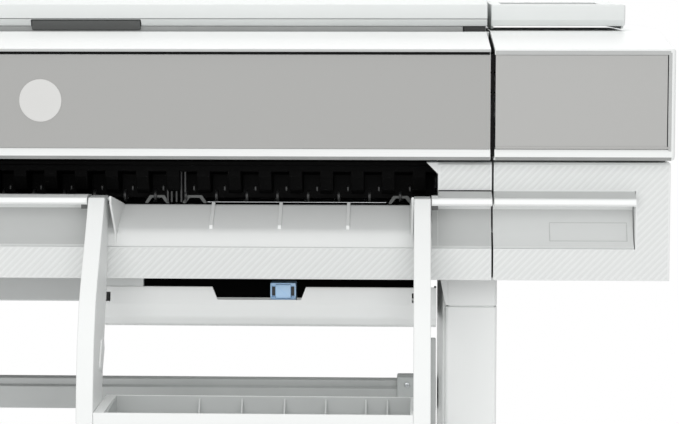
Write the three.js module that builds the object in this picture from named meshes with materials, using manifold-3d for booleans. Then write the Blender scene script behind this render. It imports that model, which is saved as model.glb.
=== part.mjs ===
// A 36 inch large format plotter with a scanner on top, on a two-legged wheeled stand.
// Millimetres. +Z is up, -Y is the operator's side, and the origin is on the floor under the middle.
import * as THREE from "three";
import { mergeVertices } from "three/addons/utils/BufferGeometryUtils.js";
import Module from "manifold-3d";

const wasm = await Module();
wasm.setup();

// ---------------------------------------------------------------- driving dimensions
const HALF_WIDTH = 696; // outer faces of the two end covers
const HALF_DEPTH = 347.5; // ends of the feet
const CLEAR = 0.3; // gap kept between parts that touch
const WALL = 3; // moulded casing thickness
const SHEET = 3; // chassis steel thickness

const UPPER_FRONT = -165; // front plane of the upper covers
const LOWER_FRONT = -130; // front plane of the textured lower covers
const REAR = 285; // back of the casing
const BODY_BOTTOM = 694;
const LOWER_TOP = 826;
const UPPER_BOTTOM = 834.4;
const FRONT_TOP = 953.5; // top front edge of the upper covers
const DECK_TOP = 970; // where the sloping top meets the scanner
const SLOPE_END = -24; // back edge of the sloping lid

const SEAM_IN = 495; // end of the centre covers
const SEAM_OUT = 499.5; // start of the end covers
const SLOT_RIGHT = 438; // paper exit, right end
const SLOT_LEFT = -486;
const SCOOP_END = 656.7; // outer end of the grip scoop
const PANEL_LOW = 844;
const PANEL_HIGH = 946;

const SCAN_FRONT = -15;
const SCAN_REAR = 232;
const SCAN_END = 656;
const SCAN_SPLIT_IN = 496.3; // gap between the scanner and the control housing
const SCAN_SPLIT_OUT = 501;
const BED_LOW = 975.5;
const BED_HIGH = 983.6;
const LID_LOW = 984;
const CROWN = 1020;

const ARM_LEFT = 50; // left faces of the two stacker arms
const ARM_RIGHT = 411.5;
const ARM_WIDTH = 18.5;
const ARM_PIVOT = { y: -128, z: 783.6 };

const LEG_FRONT = -60;
const LEG_REAR = 30;
const LEG_TOP = 695.7;
const FOOT_LOW = 70;
const FOOT_HIGH = 112;
const FOOT_X = 478; // middle of each foot
const CASTER_Y = 300;
const WHEEL_R = 28;

const COVER_HINGE = { y: -34, z: 962 };
const SCAN_HINGE = { y: 232, z: 986 };
const DOOR_HINGE = { y: -162.9, z: 845.4 };
const ROLL_COVER_HINGE = { y: 244, z: 958 };
const TRAY_HINGE = { y: 32, z: 640 };
const PANEL_HINGE = { y: 25, z: 998 };
const FEED_AXIS = { y: 62, z: 762 };
const SPINDLE_AXIS = { y: 208, z: 742 };
const BELT_Z = 908;
const BELT_LEFT = -470;
const BELT_RIGHT = 672;
const PULLEY_R = 11;
const GEAR_MODULE = 1.5;
const FEED_TEETH = 40;
const PINION_TEETH = 15;

// ---------------------------------------------------------------- colours
const finish = (color, roughness, metalness = 0) =>
  new THREE.MeshStandardMaterial({ color, roughness, metalness });
const WHITE = finish(0xeef0ef, 0.45);
const LIGHT_GREY = finish(0xd9dbda, 0.5);
const PANEL_GREY = finish(0xb4b4b2, 0.4);
const MID_GREY = finish(0xa5a8a7, 0.5);
const DARK = finish(0x4c4e4e, 0.5);
const BLACK = finish(0x121212, 0.5);
const STEEL = finish(0xb9bcbe, 0.35, 0.9);
const RUBBER = finish(0x2b2b2b, 0.8);
const BLUE = finish(0x6fa3d8, 0.4);
const GLASS = finish(0x1b1f22, 0.1);
const INK = {
  cyan: finish(0x1591c4, 0.45),
  magenta: finish(0xb82c6e, 0.45),
  yellow: finish(0xe2c12a, 0.45),
  black: finish(0x222222, 0.45),
};

// ---------------------------------------------------------------- solids
const root = new THREE.Group();

function solid(geometry) {
  geometry.deleteAttribute("normal");
  geometry.deleteAttribute("uv");
  const merged = mergeVertices(geometry, 1e-4);
  return new wasm.Manifold(
    new wasm.Mesh({
      numProp: 3,
      vertProperties: merged.attributes.position.array,
      triVerts: new Uint32Array(merged.index.array),
    }),
  );
}

function add(name, made, material) {
  const mesh = made.getMesh();
  const geometry = new THREE.BufferGeometry();
  geometry.setAttribute("position", new THREE.BufferAttribute(mesh.vertProperties, 3));
  geometry.setIndex(new THREE.BufferAttribute(mesh.triVerts, 1));
  geometry.computeVertexNormals();
  const part = new THREE.Mesh(geometry, material);
  part.name = name;
  root.add(part);
}

// A box from its lowest and highest corners.
function box(x0, x1, y0, y1, z0, z1) {
  const g = new THREE.BoxGeometry(x1 - x0, y1 - y0, z1 - z0);
  g.translate((x0 + x1) / 2, (y0 + y1) / 2, (z0 + z1) / 2);
  return solid(g);
}

const outline = (points) => new THREE.Shape(points.map(([a, b]) => new THREE.Vector2(a, b)));

// A [y, z] outline carried along X.
function alongX(points, x0, x1) {
  const g = new THREE.ExtrudeGeometry(outline(points), { depth: x1 - x0, bevelEnabled: false });
  const m = new THREE.Matrix4().set(0, 0, 1, x0, 1, 0, 0, 0, 0, 1, 0, 0, 0, 0, 0, 1);
  return solid(g.applyMatrix4(m));
}

// An [x, z] outline carried along Y.
function alongY(points, y0, y1) {
  const g = new THREE.ExtrudeGeometry(outline(points), { depth: y1 - y0, bevelEnabled: false });
  const m = new THREE.Matrix4().set(1, 0, 0, 0, 0, 0, -1, y1, 0, 1, 0, 0, 0, 0, 0, 1);
  return solid(g.applyMatrix4(m));
}

// An [x, y] outline carried along Z.
function alongZ(points, z0, z1) {
  const g = new THREE.ExtrudeGeometry(outline(points), { depth: z1 - z0, bevelEnabled: false });
  return solid(g.translate(0, 0, z0));
}

// A round bar along an axis, centred on the other two coordinates.
function bar(axis, a0, a1, u, v, radius, sides = 24) {
  const g = new THREE.CylinderGeometry(radius, radius, a1 - a0, sides);
  const middle = (a0 + a1) / 2;
  if (axis === "x") g.rotateZ(Math.PI / 2).translate(middle, u, v);
  if (axis === "y") g.translate(u, middle, v);
  if (axis === "z") g.rotateX(Math.PI / 2).translate(u, v, middle);
  return solid(g);
}

const join = (...parts) => parts.reduce((a, b) => a.add(b));
const cut = (from, ...parts) => parts.reduce((a, b) => a.subtract(b), from);
const mirrored = (points) => points.map(([a, b]) => [-a, b]).reverse();

// ---------------------------------------------------------------- casing outlines
// The lower front skin from the bottom edge up over the concave scoop to where the lip starts.
const SCOOP_SKIN = [
  [LOWER_FRONT, BODY_BOTTOM],
  [LOWER_FRONT, 730.5],
  [-124, 737],
  [-116, 748.5],
  [-110.5, 760.5],
  [-108.5, 771],
];
const SCOOP_BACK = [
  [-104.5, 771],
  [-106.5, 760],
  [-112, 747],
  [-120.5, 735.5],
  [-127, 728.5],
  [-127, BODY_BOTTOM],
];
const LIP = [
  [-112, 777],
  [-138, 778.4],
  [-146.5, 779.6],
  [-149.5, 783],
  [-148.5, 787],
  [-144, 789.2],
];
// Beside the paper exit the skin carries on upwards above the lip.
const CLOSED_FRONT = [
  ...SCOOP_SKIN,
  ...LIP,
  [-132, 793],
  [LOWER_FRONT, 794],
  [LOWER_FRONT, LOWER_TOP],
  [-127, LOWER_TOP],
  [-127, 796],
  [-104.5, 790],
  ...SCOOP_BACK,
];
// Under the paper exit the lip falls back towards the platen.
const OPEN_FRONT = [...SCOOP_SKIN, ...LIP, [-136, 789.4], [-99, 776], [-99, 771], ...SCOOP_BACK];
// Between the stacker's arms the skin is a ramp that brings the sheet up to the platen.
const RAMP_FRONT = [
  [LOWER_FRONT, BODY_BOTTOM],
  [LOWER_FRONT, 730.5],
  [-127.5, 745],
  [-122, 751],
  [-90, 772.8],
  [-87, 772.8],
  [-87, 769.8],
  [-119.5, 747.5],
  [-124, 742],
  [-127, 728.5],
  [-127, BODY_BOTTOM],
];
const NOTCH_CHEEK = [
  [-147.5, 783],
  [-147.5, 787],
  [-144, 789.2],
  [-132, 789.4],
  [-88, 774],
  [-88, 771],
  [-120, 748.5],
  [-126, 735],
  [-129.5, 731],
  [-129.8, 745],
];

// Side view of the upper casing, front to back, without its bottom.
const TOP_SKIN = [
  [UPPER_FRONT, FRONT_TOP],
  [-15, DECK_TOP],
  [150, 971],
  [235, 966],
  [262, 957],
  [279, 938],
  [REAR, 915],
];

// ---------------------------------------------------------------- stand
function buildStand() {
  for (const side of [-1, 1]) {
    const name = side < 0 ? "left" : "right";
    const column = [
      [447.6, LEG_FRONT],
      [507, LEG_FRONT],
      [507, LEG_REAR],
      [439.2, LEG_REAR],
      [443.5, LEG_FRONT + 8],
    ];
    const bore = [
      [450.5, LEG_FRONT + WALL],
      [504, LEG_FRONT + WALL],
      [504, LEG_REAR - WALL],
      [442.5, LEG_REAR - WALL],
      [446.8, LEG_FRONT + 9],
    ];
    const [outer, inner] = side > 0 ? [column, bore] : [mirrored(column), mirrored(bore)];
    const tube = cut(alongZ(outer, FOOT_HIGH + CLEAR, LEG_TOP), alongZ(inner, 100, LEG_TOP + 10));
    add(`${name}_leg`, tube, LIGHT_GREY);

    const foot = [
      [-HALF_DEPTH, FOOT_LOW + 12],
      [-HALF_DEPTH + 8, FOOT_LOW],
      [HALF_DEPTH - 8, FOOT_LOW],
      [HALF_DEPTH, FOOT_LOW + 12],
      [HALF_DEPTH, FOOT_LOW + 20],
      [HALF_DEPTH - 12, FOOT_LOW + 28],
      [120, FOOT_HIGH],
      [-120, FOOT_HIGH],
      [-HALF_DEPTH + 12, FOOT_LOW + 28],
      [-HALF_DEPTH, FOOT_LOW + 20],
    ];
    add(`${name}_foot`, alongX(foot, side * FOOT_X - 32, side * FOOT_X + 32), WHITE);
    for (const end of [-1, 1]) buildCaster(name, side * FOOT_X, end);
  }

  // A folded channel between the columns, with a bracket block on each end.
  const channel = [
    [4, 517],
    [26, 517],
    [26, 553],
    [9, 553],
    [9, 544.5],
    [4, 544.5],
  ];
  const brace = alongX(channel, -438, 438);
  const hollow = box(-390, 390, 8, 27, 520, 541);
  const blocks = [-1, 1].map((s) =>
    box(Math.min(s * 392, s * 438), Math.max(s * 392, s * 438), 0, 27, 517, 558.5),
  );
  add("cross_brace", join(cut(brace, hollow), ...blocks), MID_GREY);
}

function buildCaster(side, x, end) {
  const tag = `${end < 0 ? "front" : "rear"}_${side}`;
  const y = end * CASTER_Y;
  const axleY = y + 10; // the wheel trails behind its swivel
  const ear = (x0, x1) =>
    alongX(
      [
        [y - 12, 63],
        [axleY - 8, WHEEL_R - 6],
        [axleY + 8, WHEEL_R - 6],
        [axleY + 14, 63],
      ],
      x0,
      x1,
    );
  const fork = join(
    box(x - 17, x + 17, y - 16, y + 24, 60, 64),
    bar("z", 63, FOOT_LOW - CLEAR, x, y, 13, 20),
    ear(x - 17, x - 14),
    ear(x + 14, x + 17),
  );
  const axleHole = bar("x", x - 20, x + 20, axleY, WHEEL_R, 4.3, 20);
  add(`caster_fork_${tag}`, cut(fork, axleHole), MID_GREY);

  const tread = bar("x", x - 11, x + 11, axleY, WHEEL_R, WHEEL_R, 40);
  const hub = bar("x", x - 13, x + 13, axleY, WHEEL_R, 10, 20);
  const axle = bar("x", x - 17, x + 17, axleY, WHEEL_R, 4, 20);
  add(`caster_wheel_${tag}`, join(tread, hub, axle), RUBBER);
}

// ---------------------------------------------------------------- chassis and fixed casing
function buildChassis() {
  const pan = box(-688, 688, -122, 276, 696, 696 + SHEET);
  // Two hangers carry the lower tray's hinge barrel.
  const hangers = [66, 428].map((x) => box(x - 2, x + 2, 27, 45, 634, 697));
  const barrelHole = bar("x", 60, 434, TRAY_HINGE.y, TRAY_HINGE.z, 4.5, 20);
  const window = box(-433.5, 433.5, 128, 300, 690, 705);
  add("base_pan", cut(join(pan, ...hangers), barrelHole, window), DARK);

  const feedHole = bar("x", -500, 460, FEED_AXIS.y, FEED_AXIS.z, 8, 20);
  const spindleHole = bar("x", -500, 460, SPINDLE_AXIS.y, SPINDLE_AXIS.z, 12, 20);
  const floor = 699.3;
  const leftPlate = alongX(
    [
      [-98, floor],
      [270, floor],
      [270, 930],
      [-20, 930],
      [-98, 860],
    ],
    -491 - SHEET,
    -491,
  );
  add("left_chassis_plate", cut(leftPlate, feedHole, spindleHole), STEEL);
  // The right plate is cut low in front, where the carriage passes over it to its parking place.
  const rightPlate = alongX(
    [
      [-98, floor],
      [270, floor],
      [270, 867.5],
      [25, 867.5],
      [25, 766],
      [-98, 766],
    ],
    445,
    445 + SHEET,
  );
  add("right_chassis_plate", cut(rightPlate, feedHole, spindleHole), STEEL);

  const trough = box(-432, 432, 130, REAR - CLEAR, 627, 699);
  const bay = box(-429, 429, 133, REAR - WALL, 630, 700);
  add("roll_trough", cut(trough, bay), MID_GREY);

  // Deck under the scanner, back wall, and the two posts beside the roll cover.
  const deck = box(-498, 498, -12, 238, 937, 940);
  const deckLip = box(-498, 498, -19, -12, 937, 969);
  const wall = box(-498, 498, REAR - WALL, REAR, 699.3, 786);
  const post = [
    [235, 937],
    [235, 966],
    [262, 957],
    [279, 938],
    [REAR, 915],
    [REAR, 780],
    [REAR - WALL, 780],
    [REAR - WALL, 914],
    [276, 936],
    [260, 954],
    [238, 962],
    [238, 937],
  ];
  const ears = [-1, 1].map((s) => box(s * 473 - 3, s * 473 + 3, 237, 250, 950, 962));
  const pinHole = bar("x", -480, 480, ROLL_COVER_HINGE.y, ROLL_COVER_HINGE.z, 2.5, 16);
  const posts = join(alongX(post, 470, 498), alongX(post, -498, -470), ...ears);
  add("rear_cover", join(deck, deckLip, wall, cut(posts, pinHole)), LIGHT_GREY);
}

function buildFrontPanel() {
  const body = join(
    alongX(OPEN_FRONT, SLOT_LEFT, 75.6),
    alongX(RAMP_FRONT, 70, 412),
    alongX(OPEN_FRONT, 406.5, SLOT_RIGHT),
    alongX(CLOSED_FRONT, SLOT_RIGHT, 497.5),
    alongX(CLOSED_FRONT, -497.5, SLOT_LEFT),
    alongX(NOTCH_CHEEK, 72.6, 75.6),
    alongX(NOTCH_CHEEK, 406.5, 409.5),
    // the web across the top right corner of the paper exit
    alongY([[425, LOWER_TOP], [440, LOWER_TOP], [440, 810]], -129, -112),
  );
  // Pockets where the arms swing in the lip, and the holes for their trunnions.
  const pockets = [
    box(48.5, 72.6, -160, -98, 732, 800),
    box(409.5, 431.5, -160, -98, 732, 800),
  ];
  const trunnions = [
    bar("x", 44, 74.9, ARM_PIVOT.y, ARM_PIVOT.z, 2.6, 16),
    bar("x", 407.2, 436, ARM_PIVOT.y, ARM_PIVOT.z, 2.6, 16),
  ];
  const ribs = [183.8, 260.7, 337.6].map((x) =>
    alongX([[-121, 749.5], [-121.6, 752.6], [-92, 774.4], [-89, 774.4], [-89, 771.5]], x - 1.8, x + 1.8),
  );
  add("front_panel", join(cut(body, ...pockets, ...trunnions), ...ribs), WHITE);
}

function buildEndCovers() {
  for (const side of [-1, 1]) {
    const name = side < 0 ? "left" : "right";
    const span = (outline, x0, x1) =>
      side > 0 ? alongX(outline, x0, x1) : alongX(outline, -x1, -x0);
    const block = (x0, x1, ...rest) => (side > 0 ? box(x0, x1, ...rest) : box(-x1, -x0, ...rest));

    const plain = [
      [LOWER_FRONT, BODY_BOTTOM],
      [LOWER_FRONT, LOWER_TOP],
      [-127, LOWER_TOP],
      [-127, BODY_BOTTOM],
    ];
    let lower = join(
      span(CLOSED_FRONT, SEAM_OUT, SCOOP_END),
      span(plain, SCOOP_END, HALF_WIDTH),
      block(HALF_WIDTH - WALL, HALF_WIDTH, LOWER_FRONT, REAR, BODY_BOTTOM, LOWER_TOP),
      block(SEAM_OUT, HALF_WIDTH, REAR - WALL, REAR, BODY_BOTTOM, LOWER_TOP),
      // the web that closes the end of the scoop
      span([...SCOOP_SKIN, [-112, 778], [-130, 794], [-127, 796], [-104, 790], ...SCOOP_BACK],
        SCOOP_END - 1, SCOOP_END + WALL),
      block(SCOOP_END, SCOOP_END + WALL, LOWER_FRONT, -105, 731, 794),
    );
    if (side < 0) lower = cut(lower, box(-651, -589, REAR - 10, REAR + 5, 740, 788));
    add(`${name}_lower_cover`, lower, WHITE);

    const skin = [[UPPER_FRONT, UPPER_BOTTOM], ...TOP_SKIN, [REAR, 829]];
    const inner = [
      [UPPER_FRONT + WALL, UPPER_BOTTOM + WALL],
      [UPPER_FRONT + WALL, FRONT_TOP - WALL],
      [-15, DECK_TOP - WALL],
      [150, 968],
      [234, 963],
      [260, 954],
      [276, 936],
      [REAR - WALL, 914],
      [REAR - WALL, 820],
      [-127, 820],
      [-127, UPPER_BOTTOM + WALL],
    ];
    const shell = cut(
      span([...skin, [LOWER_FRONT, 829]], SEAM_OUT, HALF_WIDTH),
      span(inner, SEAM_OUT - 1, HALF_WIDTH - WALL),
    );
    // The ink door fills an opening on the right; the left end only has a shallow recess.
    const depth = side > 0 ? WALL + 1 : 1;
    const face = [UPPER_FRONT - 5, UPPER_FRONT + depth, PANEL_LOW - 1, PANEL_HIGH + 2];
    const pinHole = bar("x", 688, 691, DOOR_HINGE.y, DOOR_HINGE.z, 1.6, 16);
    const opened = cut(shell, block(SEAM_OUT - 1, 688.5, ...face));
    add(`${name}_upper_cover`, side > 0 ? cut(opened, pinHole) : opened, WHITE);
  }
}

// ---------------------------------------------------------------- lids and doors
function buildMainCover() {
  const skin = [
    [UPPER_FRONT, UPPER_BOTTOM],
    [UPPER_FRONT, FRONT_TOP],
    [SLOPE_END, 969],
    [SLOPE_END, 966],
    [UPPER_FRONT + 5, 950],
    [UPPER_FRONT + 5, UPPER_BOTTOM + WALL],
    [-140, UPPER_BOTTOM + WALL],
    [-140, UPPER_BOTTOM],
  ];
  const gusset = [
    [UPPER_FRONT + 4, 836],
    [UPPER_FRONT + 4, 951],
    [SLOPE_END, 967.5],
    [SLOPE_END, 951],
    [-50, 946],
    [-125, 934],
    [-138, 920],
    [-138, 836],
  ];
  const rebate = box(-500, 500, UPPER_FRONT - 3, UPPER_FRONT + 3.4, PANEL_LOW - 0.4, PANEL_HIGH + 1.8);
  const shell = cut(alongX(skin, -SEAM_IN, SEAM_IN), rebate);
  add(
    "main_cover",
    join(shell, alongX(gusset, -SEAM_IN, -SEAM_IN + 3), alongX(gusset, SEAM_IN - 3, SEAM_IN))
      .subtract(rebate),
    WHITE,
  );
  add(
    "main_cover_panel",
    box(-SEAM_IN, SEAM_IN, UPPER_FRONT + 0.8, UPPER_FRONT + 3, PANEL_LOW, PANEL_HIGH),
    PANEL_GREY,
  );
}

function buildInkDoor() {
  const plate = box(500.8, 687, UPPER_FRONT + 0.8, UPPER_FRONT + 3.8, PANEL_LOW, PANEL_HIGH);
  const pin = bar("x", 500.8, 690, DOOR_HINGE.y, DOOR_HINGE.z, 1.25, 16);
  const pull = box(560, 628, UPPER_FRONT + 3, UPPER_FRONT + 8, PANEL_HIGH - 9, PANEL_HIGH - 6);
  add("ink_door", join(plate, pin, pull), PANEL_GREY);
}

function buildRollCover() {
  const skin = [
    [238.6, 966.2],
    [262, 958],
    [279, 938.5],
    [REAR, 915],
    [REAR, 788],
    [REAR - WALL, 788],
    [REAR - WALL, 914],
    [276.3, 936.5],
    [260, 955],
    [238.6, 963],
  ];
  const { y, z } = ROLL_COVER_HINGE;
  const knuckle = join(bar("x", -466, 466, y, z, 4, 16), bar("x", -474, 474, y, z, 2, 16));
  const web = alongX([[241, 957], [241, 963.5], [248, 961.5], [248, 957]], -460, 460);
  const pull = box(-60, 60, REAR - 6, REAR - 2, 788, 796);
  add("roll_cover", join(alongX(skin, -469, 469), web, knuckle, pull), LIGHT_GREY);
}

// ---------------------------------------------------------------- scanner
function buildScanner() {
  const bedOutline = [
    [SCAN_FRONT + 3, BED_LOW],
    [SCAN_FRONT, BED_LOW + 3],
    [SCAN_FRONT, BED_HIGH],
    [SCAN_REAR, BED_HIGH],
    [SCAN_REAR, BED_LOW],
    [226, BED_LOW],
    [226, 945],
    [6, 945],
    [6, BED_LOW],
  ];
  const upper = [
    [SCAN_FRONT + 3, BED_LOW],
    [SCAN_FRONT, BED_LOW + 3],
    [SCAN_FRONT, BED_HIGH],
    [SCAN_REAR, BED_HIGH],
    [SCAN_REAR, BED_LOW],
  ];
  const bed = cut(
    join(alongX(bedOutline, -494, SCAN_SPLIT_IN), alongX(upper, -SCAN_END, -493)),
    box(-470, 470, 78, 162, BED_HIGH - 4, 990), // glass seat
    box(-466, 466, 92, 148, 950, 990), // sensor bay
    box(-470, 470, 40, 64, 958, 990), // roller channel
    box(-39, 92, -30, 2, 970, 990), // finger grip
  );
  add("scanner_bed", bed, LIGHT_GREY);
  add("scanner_glass", box(-469, 469, 79, 161, BED_HIGH - 3.7, BED_HIGH - 0.2), GLASS);
  add("scanner_sensor_bar", box(-460, 460, 104, 136, 952, 972), BLACK);
  add(
    "scanner_feed_roller",
    join(
      bar("x", -466, 466, 52, 971, 5, 16),
      bar("x", -440, -80, 52, 971, 9, 24),
      bar("x", 80, 440, 52, 971, 9, 24),
    ),
    RUBBER,
  );

  const lid = [
    [SCAN_FRONT, LID_LOW],
    [SCAN_FRONT, 996],
    [-13, 1000],
    [-8, 1002.5],
    [60, 1012],
    [140, CROWN],
    [215, 1018],
    [228, 1012],
    [SCAN_REAR, 1004],
    [SCAN_REAR, LID_LOW],
  ];
  add("scanner_lid", alongX(lid, -SCAN_END, SCAN_SPLIT_IN), WHITE);

  const housing = [
    [6, 972],
    [6, BED_LOW],
    [SCAN_FRONT + 3, BED_LOW],
    [SCAN_FRONT, BED_LOW + 3],
    [SCAN_FRONT, 996],
    [-13, 1000],
    [-8, 1002.5],
    [215, 1006],
    [SCAN_REAR, 998],
    [SCAN_REAR, BED_LOW],
    [222, 972],
  ];
  const hollow = box(SCAN_SPLIT_OUT + WALL, SCAN_END - WALL, -8, 225, 960, 988);
  const panelWell = box(514, 630, 18, 104, 990.5, 1010);
  const buttonWell = bar("z", 985, 1010, 643, 40, 6.4, 20);
  const pivotHoles = bar("x", 511, 633, PANEL_HINGE.y, PANEL_HINGE.z, 2.4, 16);
  add(
    "control_housing",
    cut(alongX(housing, SCAN_SPLIT_OUT, SCAN_END), hollow, panelWell, buttonWell, pivotHoles),
    WHITE,
  );
  const bezel = cut(
    box(515, 629, 21, 103, 994.5, 1002.6),
    box(522, 622, 30, 92, 1001.4, 1005),
  );
  const pivots = bar("x", 512, 632, PANEL_HINGE.y, PANEL_HINGE.z, 2, 16);
  add("control_panel", join(bezel, pivots), DARK);
  add("touch_screen", box(522.4, 621.6, 30.4, 91.6, 1001.7, 1002.6), GLASS);
  add("power_button", join(bar("z", 992, 1005.6, 643, 40, 6, 20), bar("z", 988, 992, 643, 40, 3, 16)), DARK);
}

// ---------------------------------------------------------------- print engine
// A spur gear's [y, z] outline about its own centre.
function gearOutline(teeth, centre, phase) {
  const pitch = (GEAR_MODULE * teeth) / 2;
  const step = (2 * Math.PI) / teeth;
  const tip = pitch + GEAR_MODULE * 0.9;
  const rootR = pitch - GEAR_MODULE * 1.2;
  const points = [];
  for (let i = 0; i < teeth; i += 1) {
    const a = i * step + phase;
    for (const [share, r] of [[-0.32, rootR], [-0.12, tip], [0.12, tip], [0.32, rootR]]) {
      points.push([centre.y + r * Math.cos(a + share * step), centre.z + r * Math.sin(a + share * step)]);
    }
  }
  return points;
}

function buildFeed() {
  const { y, z } = FEED_AXIS;
  const gear = alongX(gearOutline(FEED_TEETH, FEED_AXIS, 0), -512, -502);
  add(
    "feed_roller",
    join(bar("x", -484, 440, y, z, 12, 28), bar("x", -513, 447, y, z, 6, 20), gear),
    STEEL,
  );
  const apart = (GEAR_MODULE * (FEED_TEETH + PINION_TEETH)) / 2 + 0.25;
  const pinionAxis = { y: y + apart, z };
  // A tooth gap of the pinion faces the gear's tooth.
  const pinion = alongX(gearOutline(PINION_TEETH, pinionAxis, 0), -512, -502);
  add("feed_pinion", join(pinion, bar("x", -528, -501, pinionAxis.y, z, 4, 16)), LIGHT_GREY);
  const motor = join(
    bar("x", -572, -524, pinionAxis.y, z, 21, 28),
    box(-526, -523, pinionAxis.y - 24, pinionAxis.y + 24, z - 24, z + 24),
  );
  add("feed_motor", cut(motor, bar("x", -530, -515, pinionAxis.y, z, 5, 16)), BLACK);
}

function buildCarriage() {
  add("carriage_rail", box(-488, 686, 25, 55, 868, 892), STEEL);
  const body = join(
    box(508, 632, -50, 18, 796, 925),
    box(520, 620, -40, 8, 781, 797),
    box(514, 626, -44, 12, 925, 930),
    box(530, 610, 17, 45, 892.4, 895), // slider shoe on top of the rail
    box(560, 580, 17, 22.4, 912, 924), // belt clip
  );
  add("carriage", body, BLACK);

  const loop = (radius) => {
    const shape = new THREE.Shape();
    shape.absarc(BELT_RIGHT, BELT_Z, radius, -Math.PI / 2, Math.PI / 2, false);
    shape.absarc(BELT_LEFT, BELT_Z, radius, Math.PI / 2, (3 * Math.PI) / 2, false);
    return shape.getPoints(10).map((p) => [p.x, p.y]);
  };
  const belt = cut(
    alongY(loop(PULLEY_R + 1.6), 23, 31),
    alongY(loop(PULLEY_R + CLEAR), 22, 32),
  );
  add("carriage_belt", belt, BLACK);
  const pulley = (x, y1) =>
    join(
      bar("y", 22.5, 31.5, x, BELT_Z, PULLEY_R, 28),
      bar("y", 20.5, 22.5, x, BELT_Z, PULLEY_R + 3, 28),
      bar("y", 31.5, 33.5, x, BELT_Z, PULLEY_R + 3, 28),
      bar("y", 33, y1, x, BELT_Z, 3, 16),
    );
  add("belt_drive_pulley", pulley(BELT_RIGHT, 62), STEEL);
  add("belt_idler_pulley", pulley(BELT_LEFT, 44), STEEL);
  const motor = join(
    bar("y", 61, 108, BELT_RIGHT, BELT_Z, 18, 28),
    box(BELT_RIGHT - 18, BELT_RIGHT + 18, 58, 61, BELT_Z - 20, BELT_Z + 20),
  );
  add("carriage_motor", cut(motor, bar("y", 50, 66, BELT_RIGHT, BELT_Z, 4, 16)), BLACK);
}

function buildPlaten() {
  const bed = [[-85, 764], [-85, 769.5], [-83, 771], [44, 771], [44, 764]];
  add("platen", alongX(bed, SLOT_LEFT, 437), BLACK);
  const beam = alongX(
    [
      [-100, 812],
      [-100, 828],
      [-60, 832],
      [-56, 832],
      [-56, 806],
      [-66, 806],
    ],
    SLOT_LEFT,
    437,
  );
  // Star wheel fins hang from the beam over the paper at an even pitch.
  const fins = [];
  for (let x = -470; x < 430; x += 35) {
    fins.push(
      alongX([[-101, 812], [-98, 790], [-72, 782], [-64, 786], [-62, 812]], x, x + 3),
    );
  }
  add("starwheel_bar", join(beam, ...fins), BLACK);
  const station = cut(
    box(512, 640, -48, 40, 700, 774),
    box(522, 574, -38, 6, 762, 780),
    box(582, 630, -38, 6, 750, 780),
  );
  add("service_station", station, DARK);
}

function buildInk() {
  const pitch = 44;
  const first = 507;
  const rails = [];
  for (let i = 0; i <= 4; i += 1) {
    rails.push(box(first - 2 + i * pitch - 1, first - 2 + i * pitch + 1, -146, -58, 841, 862));
  }
  add("ink_bay", join(box(first - 3, 684, -148, -58, 838, 842), box(first - 3, 684, -60, -57, 838, 920), ...rails), DARK);
  Object.entries(INK).forEach(([colour, material], i) => {
    const x = first + i * pitch;
    const pack = join(
      box(x, x + 40, -148, -64, 842.6, 922),
      box(x + 10, x + 30, -151, -147, 856, 900),
    );
    add(`ink_cartridge_${colour}`, pack, material);
  });
}

function buildRoll() {
  const { y, z } = SPINDLE_AXIS;
  add(
    "roll_spindle",
    join(
      bar("x", -486, 441, y, z, 22, 28),
      bar("x", -494, 448, y, z, 10, 20),
      bar("x", -484, -478, y, z, 40, 36),
      bar("x", 432, 438, y, z, 40, 36),
    ),
    DARK,
  );
  const supply = join(
    box(-688, -588, 20, 270, 700, 880),
    box(-650, -590, 269, REAR - 1, 741, 787),
  );
  const socket = box(-634, -606, REAR - 16, REAR + 5, 752, 774);
  const ports = box(-602, -594, REAR - 12, REAR + 5, 748, 780);
  add("electronics_box", cut(supply, socket, ports), DARK);
}

// ---------------------------------------------------------------- stacker and tray
function buildStacker() {
  const arm = [
    [-124, 787.5],
    [-152, 787.5],
    [-164, 768],
    [-182, 738],
    [-203, 710],
    [-222, 682],
    [-236, 640],
    [-246, 590],
    [-251, 540],
    [-254, 430],
    [-248, 418],
    [-216, 418],
    [-206, 430],
    [-200, 500],
    [-193, 548],
    [-168, 620],
    [-146, 678],
    [-137, 716],
    [-135, 740],
    [-124, 772],
  ];
  for (const [name, x] of [["left", ARM_LEFT], ["right", ARM_RIGHT]]) {
    const blade = alongX(arm, x, x + ARM_WIDTH);
    const inner = name === "left" ? 74 : 436;
    const trunnion = bar(
      "x",
      name === "left" ? 45 : 408.2,
      name === "left" ? 74 : 435,
      ARM_PIVOT.y,
      ARM_PIVOT.z,
      2.2,
      16,
    );
    // The link plate on the arm's right side, where the trough's bracket is screwed on.
    const link = alongX(
      name === "left"
        ? [[-178, 634], [-190, 634], [-205, 606], [-190, 600], [-176, 622]]
        : [[-192, 640], [-204, 640], [-214, 610], [-222, 560], [-226, 430], [-210, 430], [-200, 540], [-184, 600]],
      x + ARM_WIDTH - 1,
      name === "left" ? inner - 1.8 : inner,
    );
    add(`stacker_arm_${name}`, join(blade, trunnion, link), WHITE);
  }

  const left = ARM_LEFT + ARM_WIDTH + CLEAR;
  const right = ARM_RIGHT - CLEAR;
  const trough = [
    [-250.5, 566],
    [-253.5, 440],
    [-240, 424],
    [-170, 424],
    [-157, 440],
    [-155, 566.5],
  ];
  const inside = [
    [-247.5, 568],
    [-250.5, 441],
    [-238.5, 427],
    [-171.5, 427],
    [-160, 441],
    [-158, 568],
  ];
  const shell = cut(alongX(trough, left, right), alongX(inside, 80, right - 3));
  const fins = [174, 221.4, 268.8, 314.5, 359, 383].map((x) =>
    alongX([[-159, 440], [-157, 563], [-175, 540], [-190, 426], [-172, 426]], x - 1.1, x + 1.1),
  );
  add("stacker_bin", join(shell, ...fins), WHITE);
}

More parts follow.
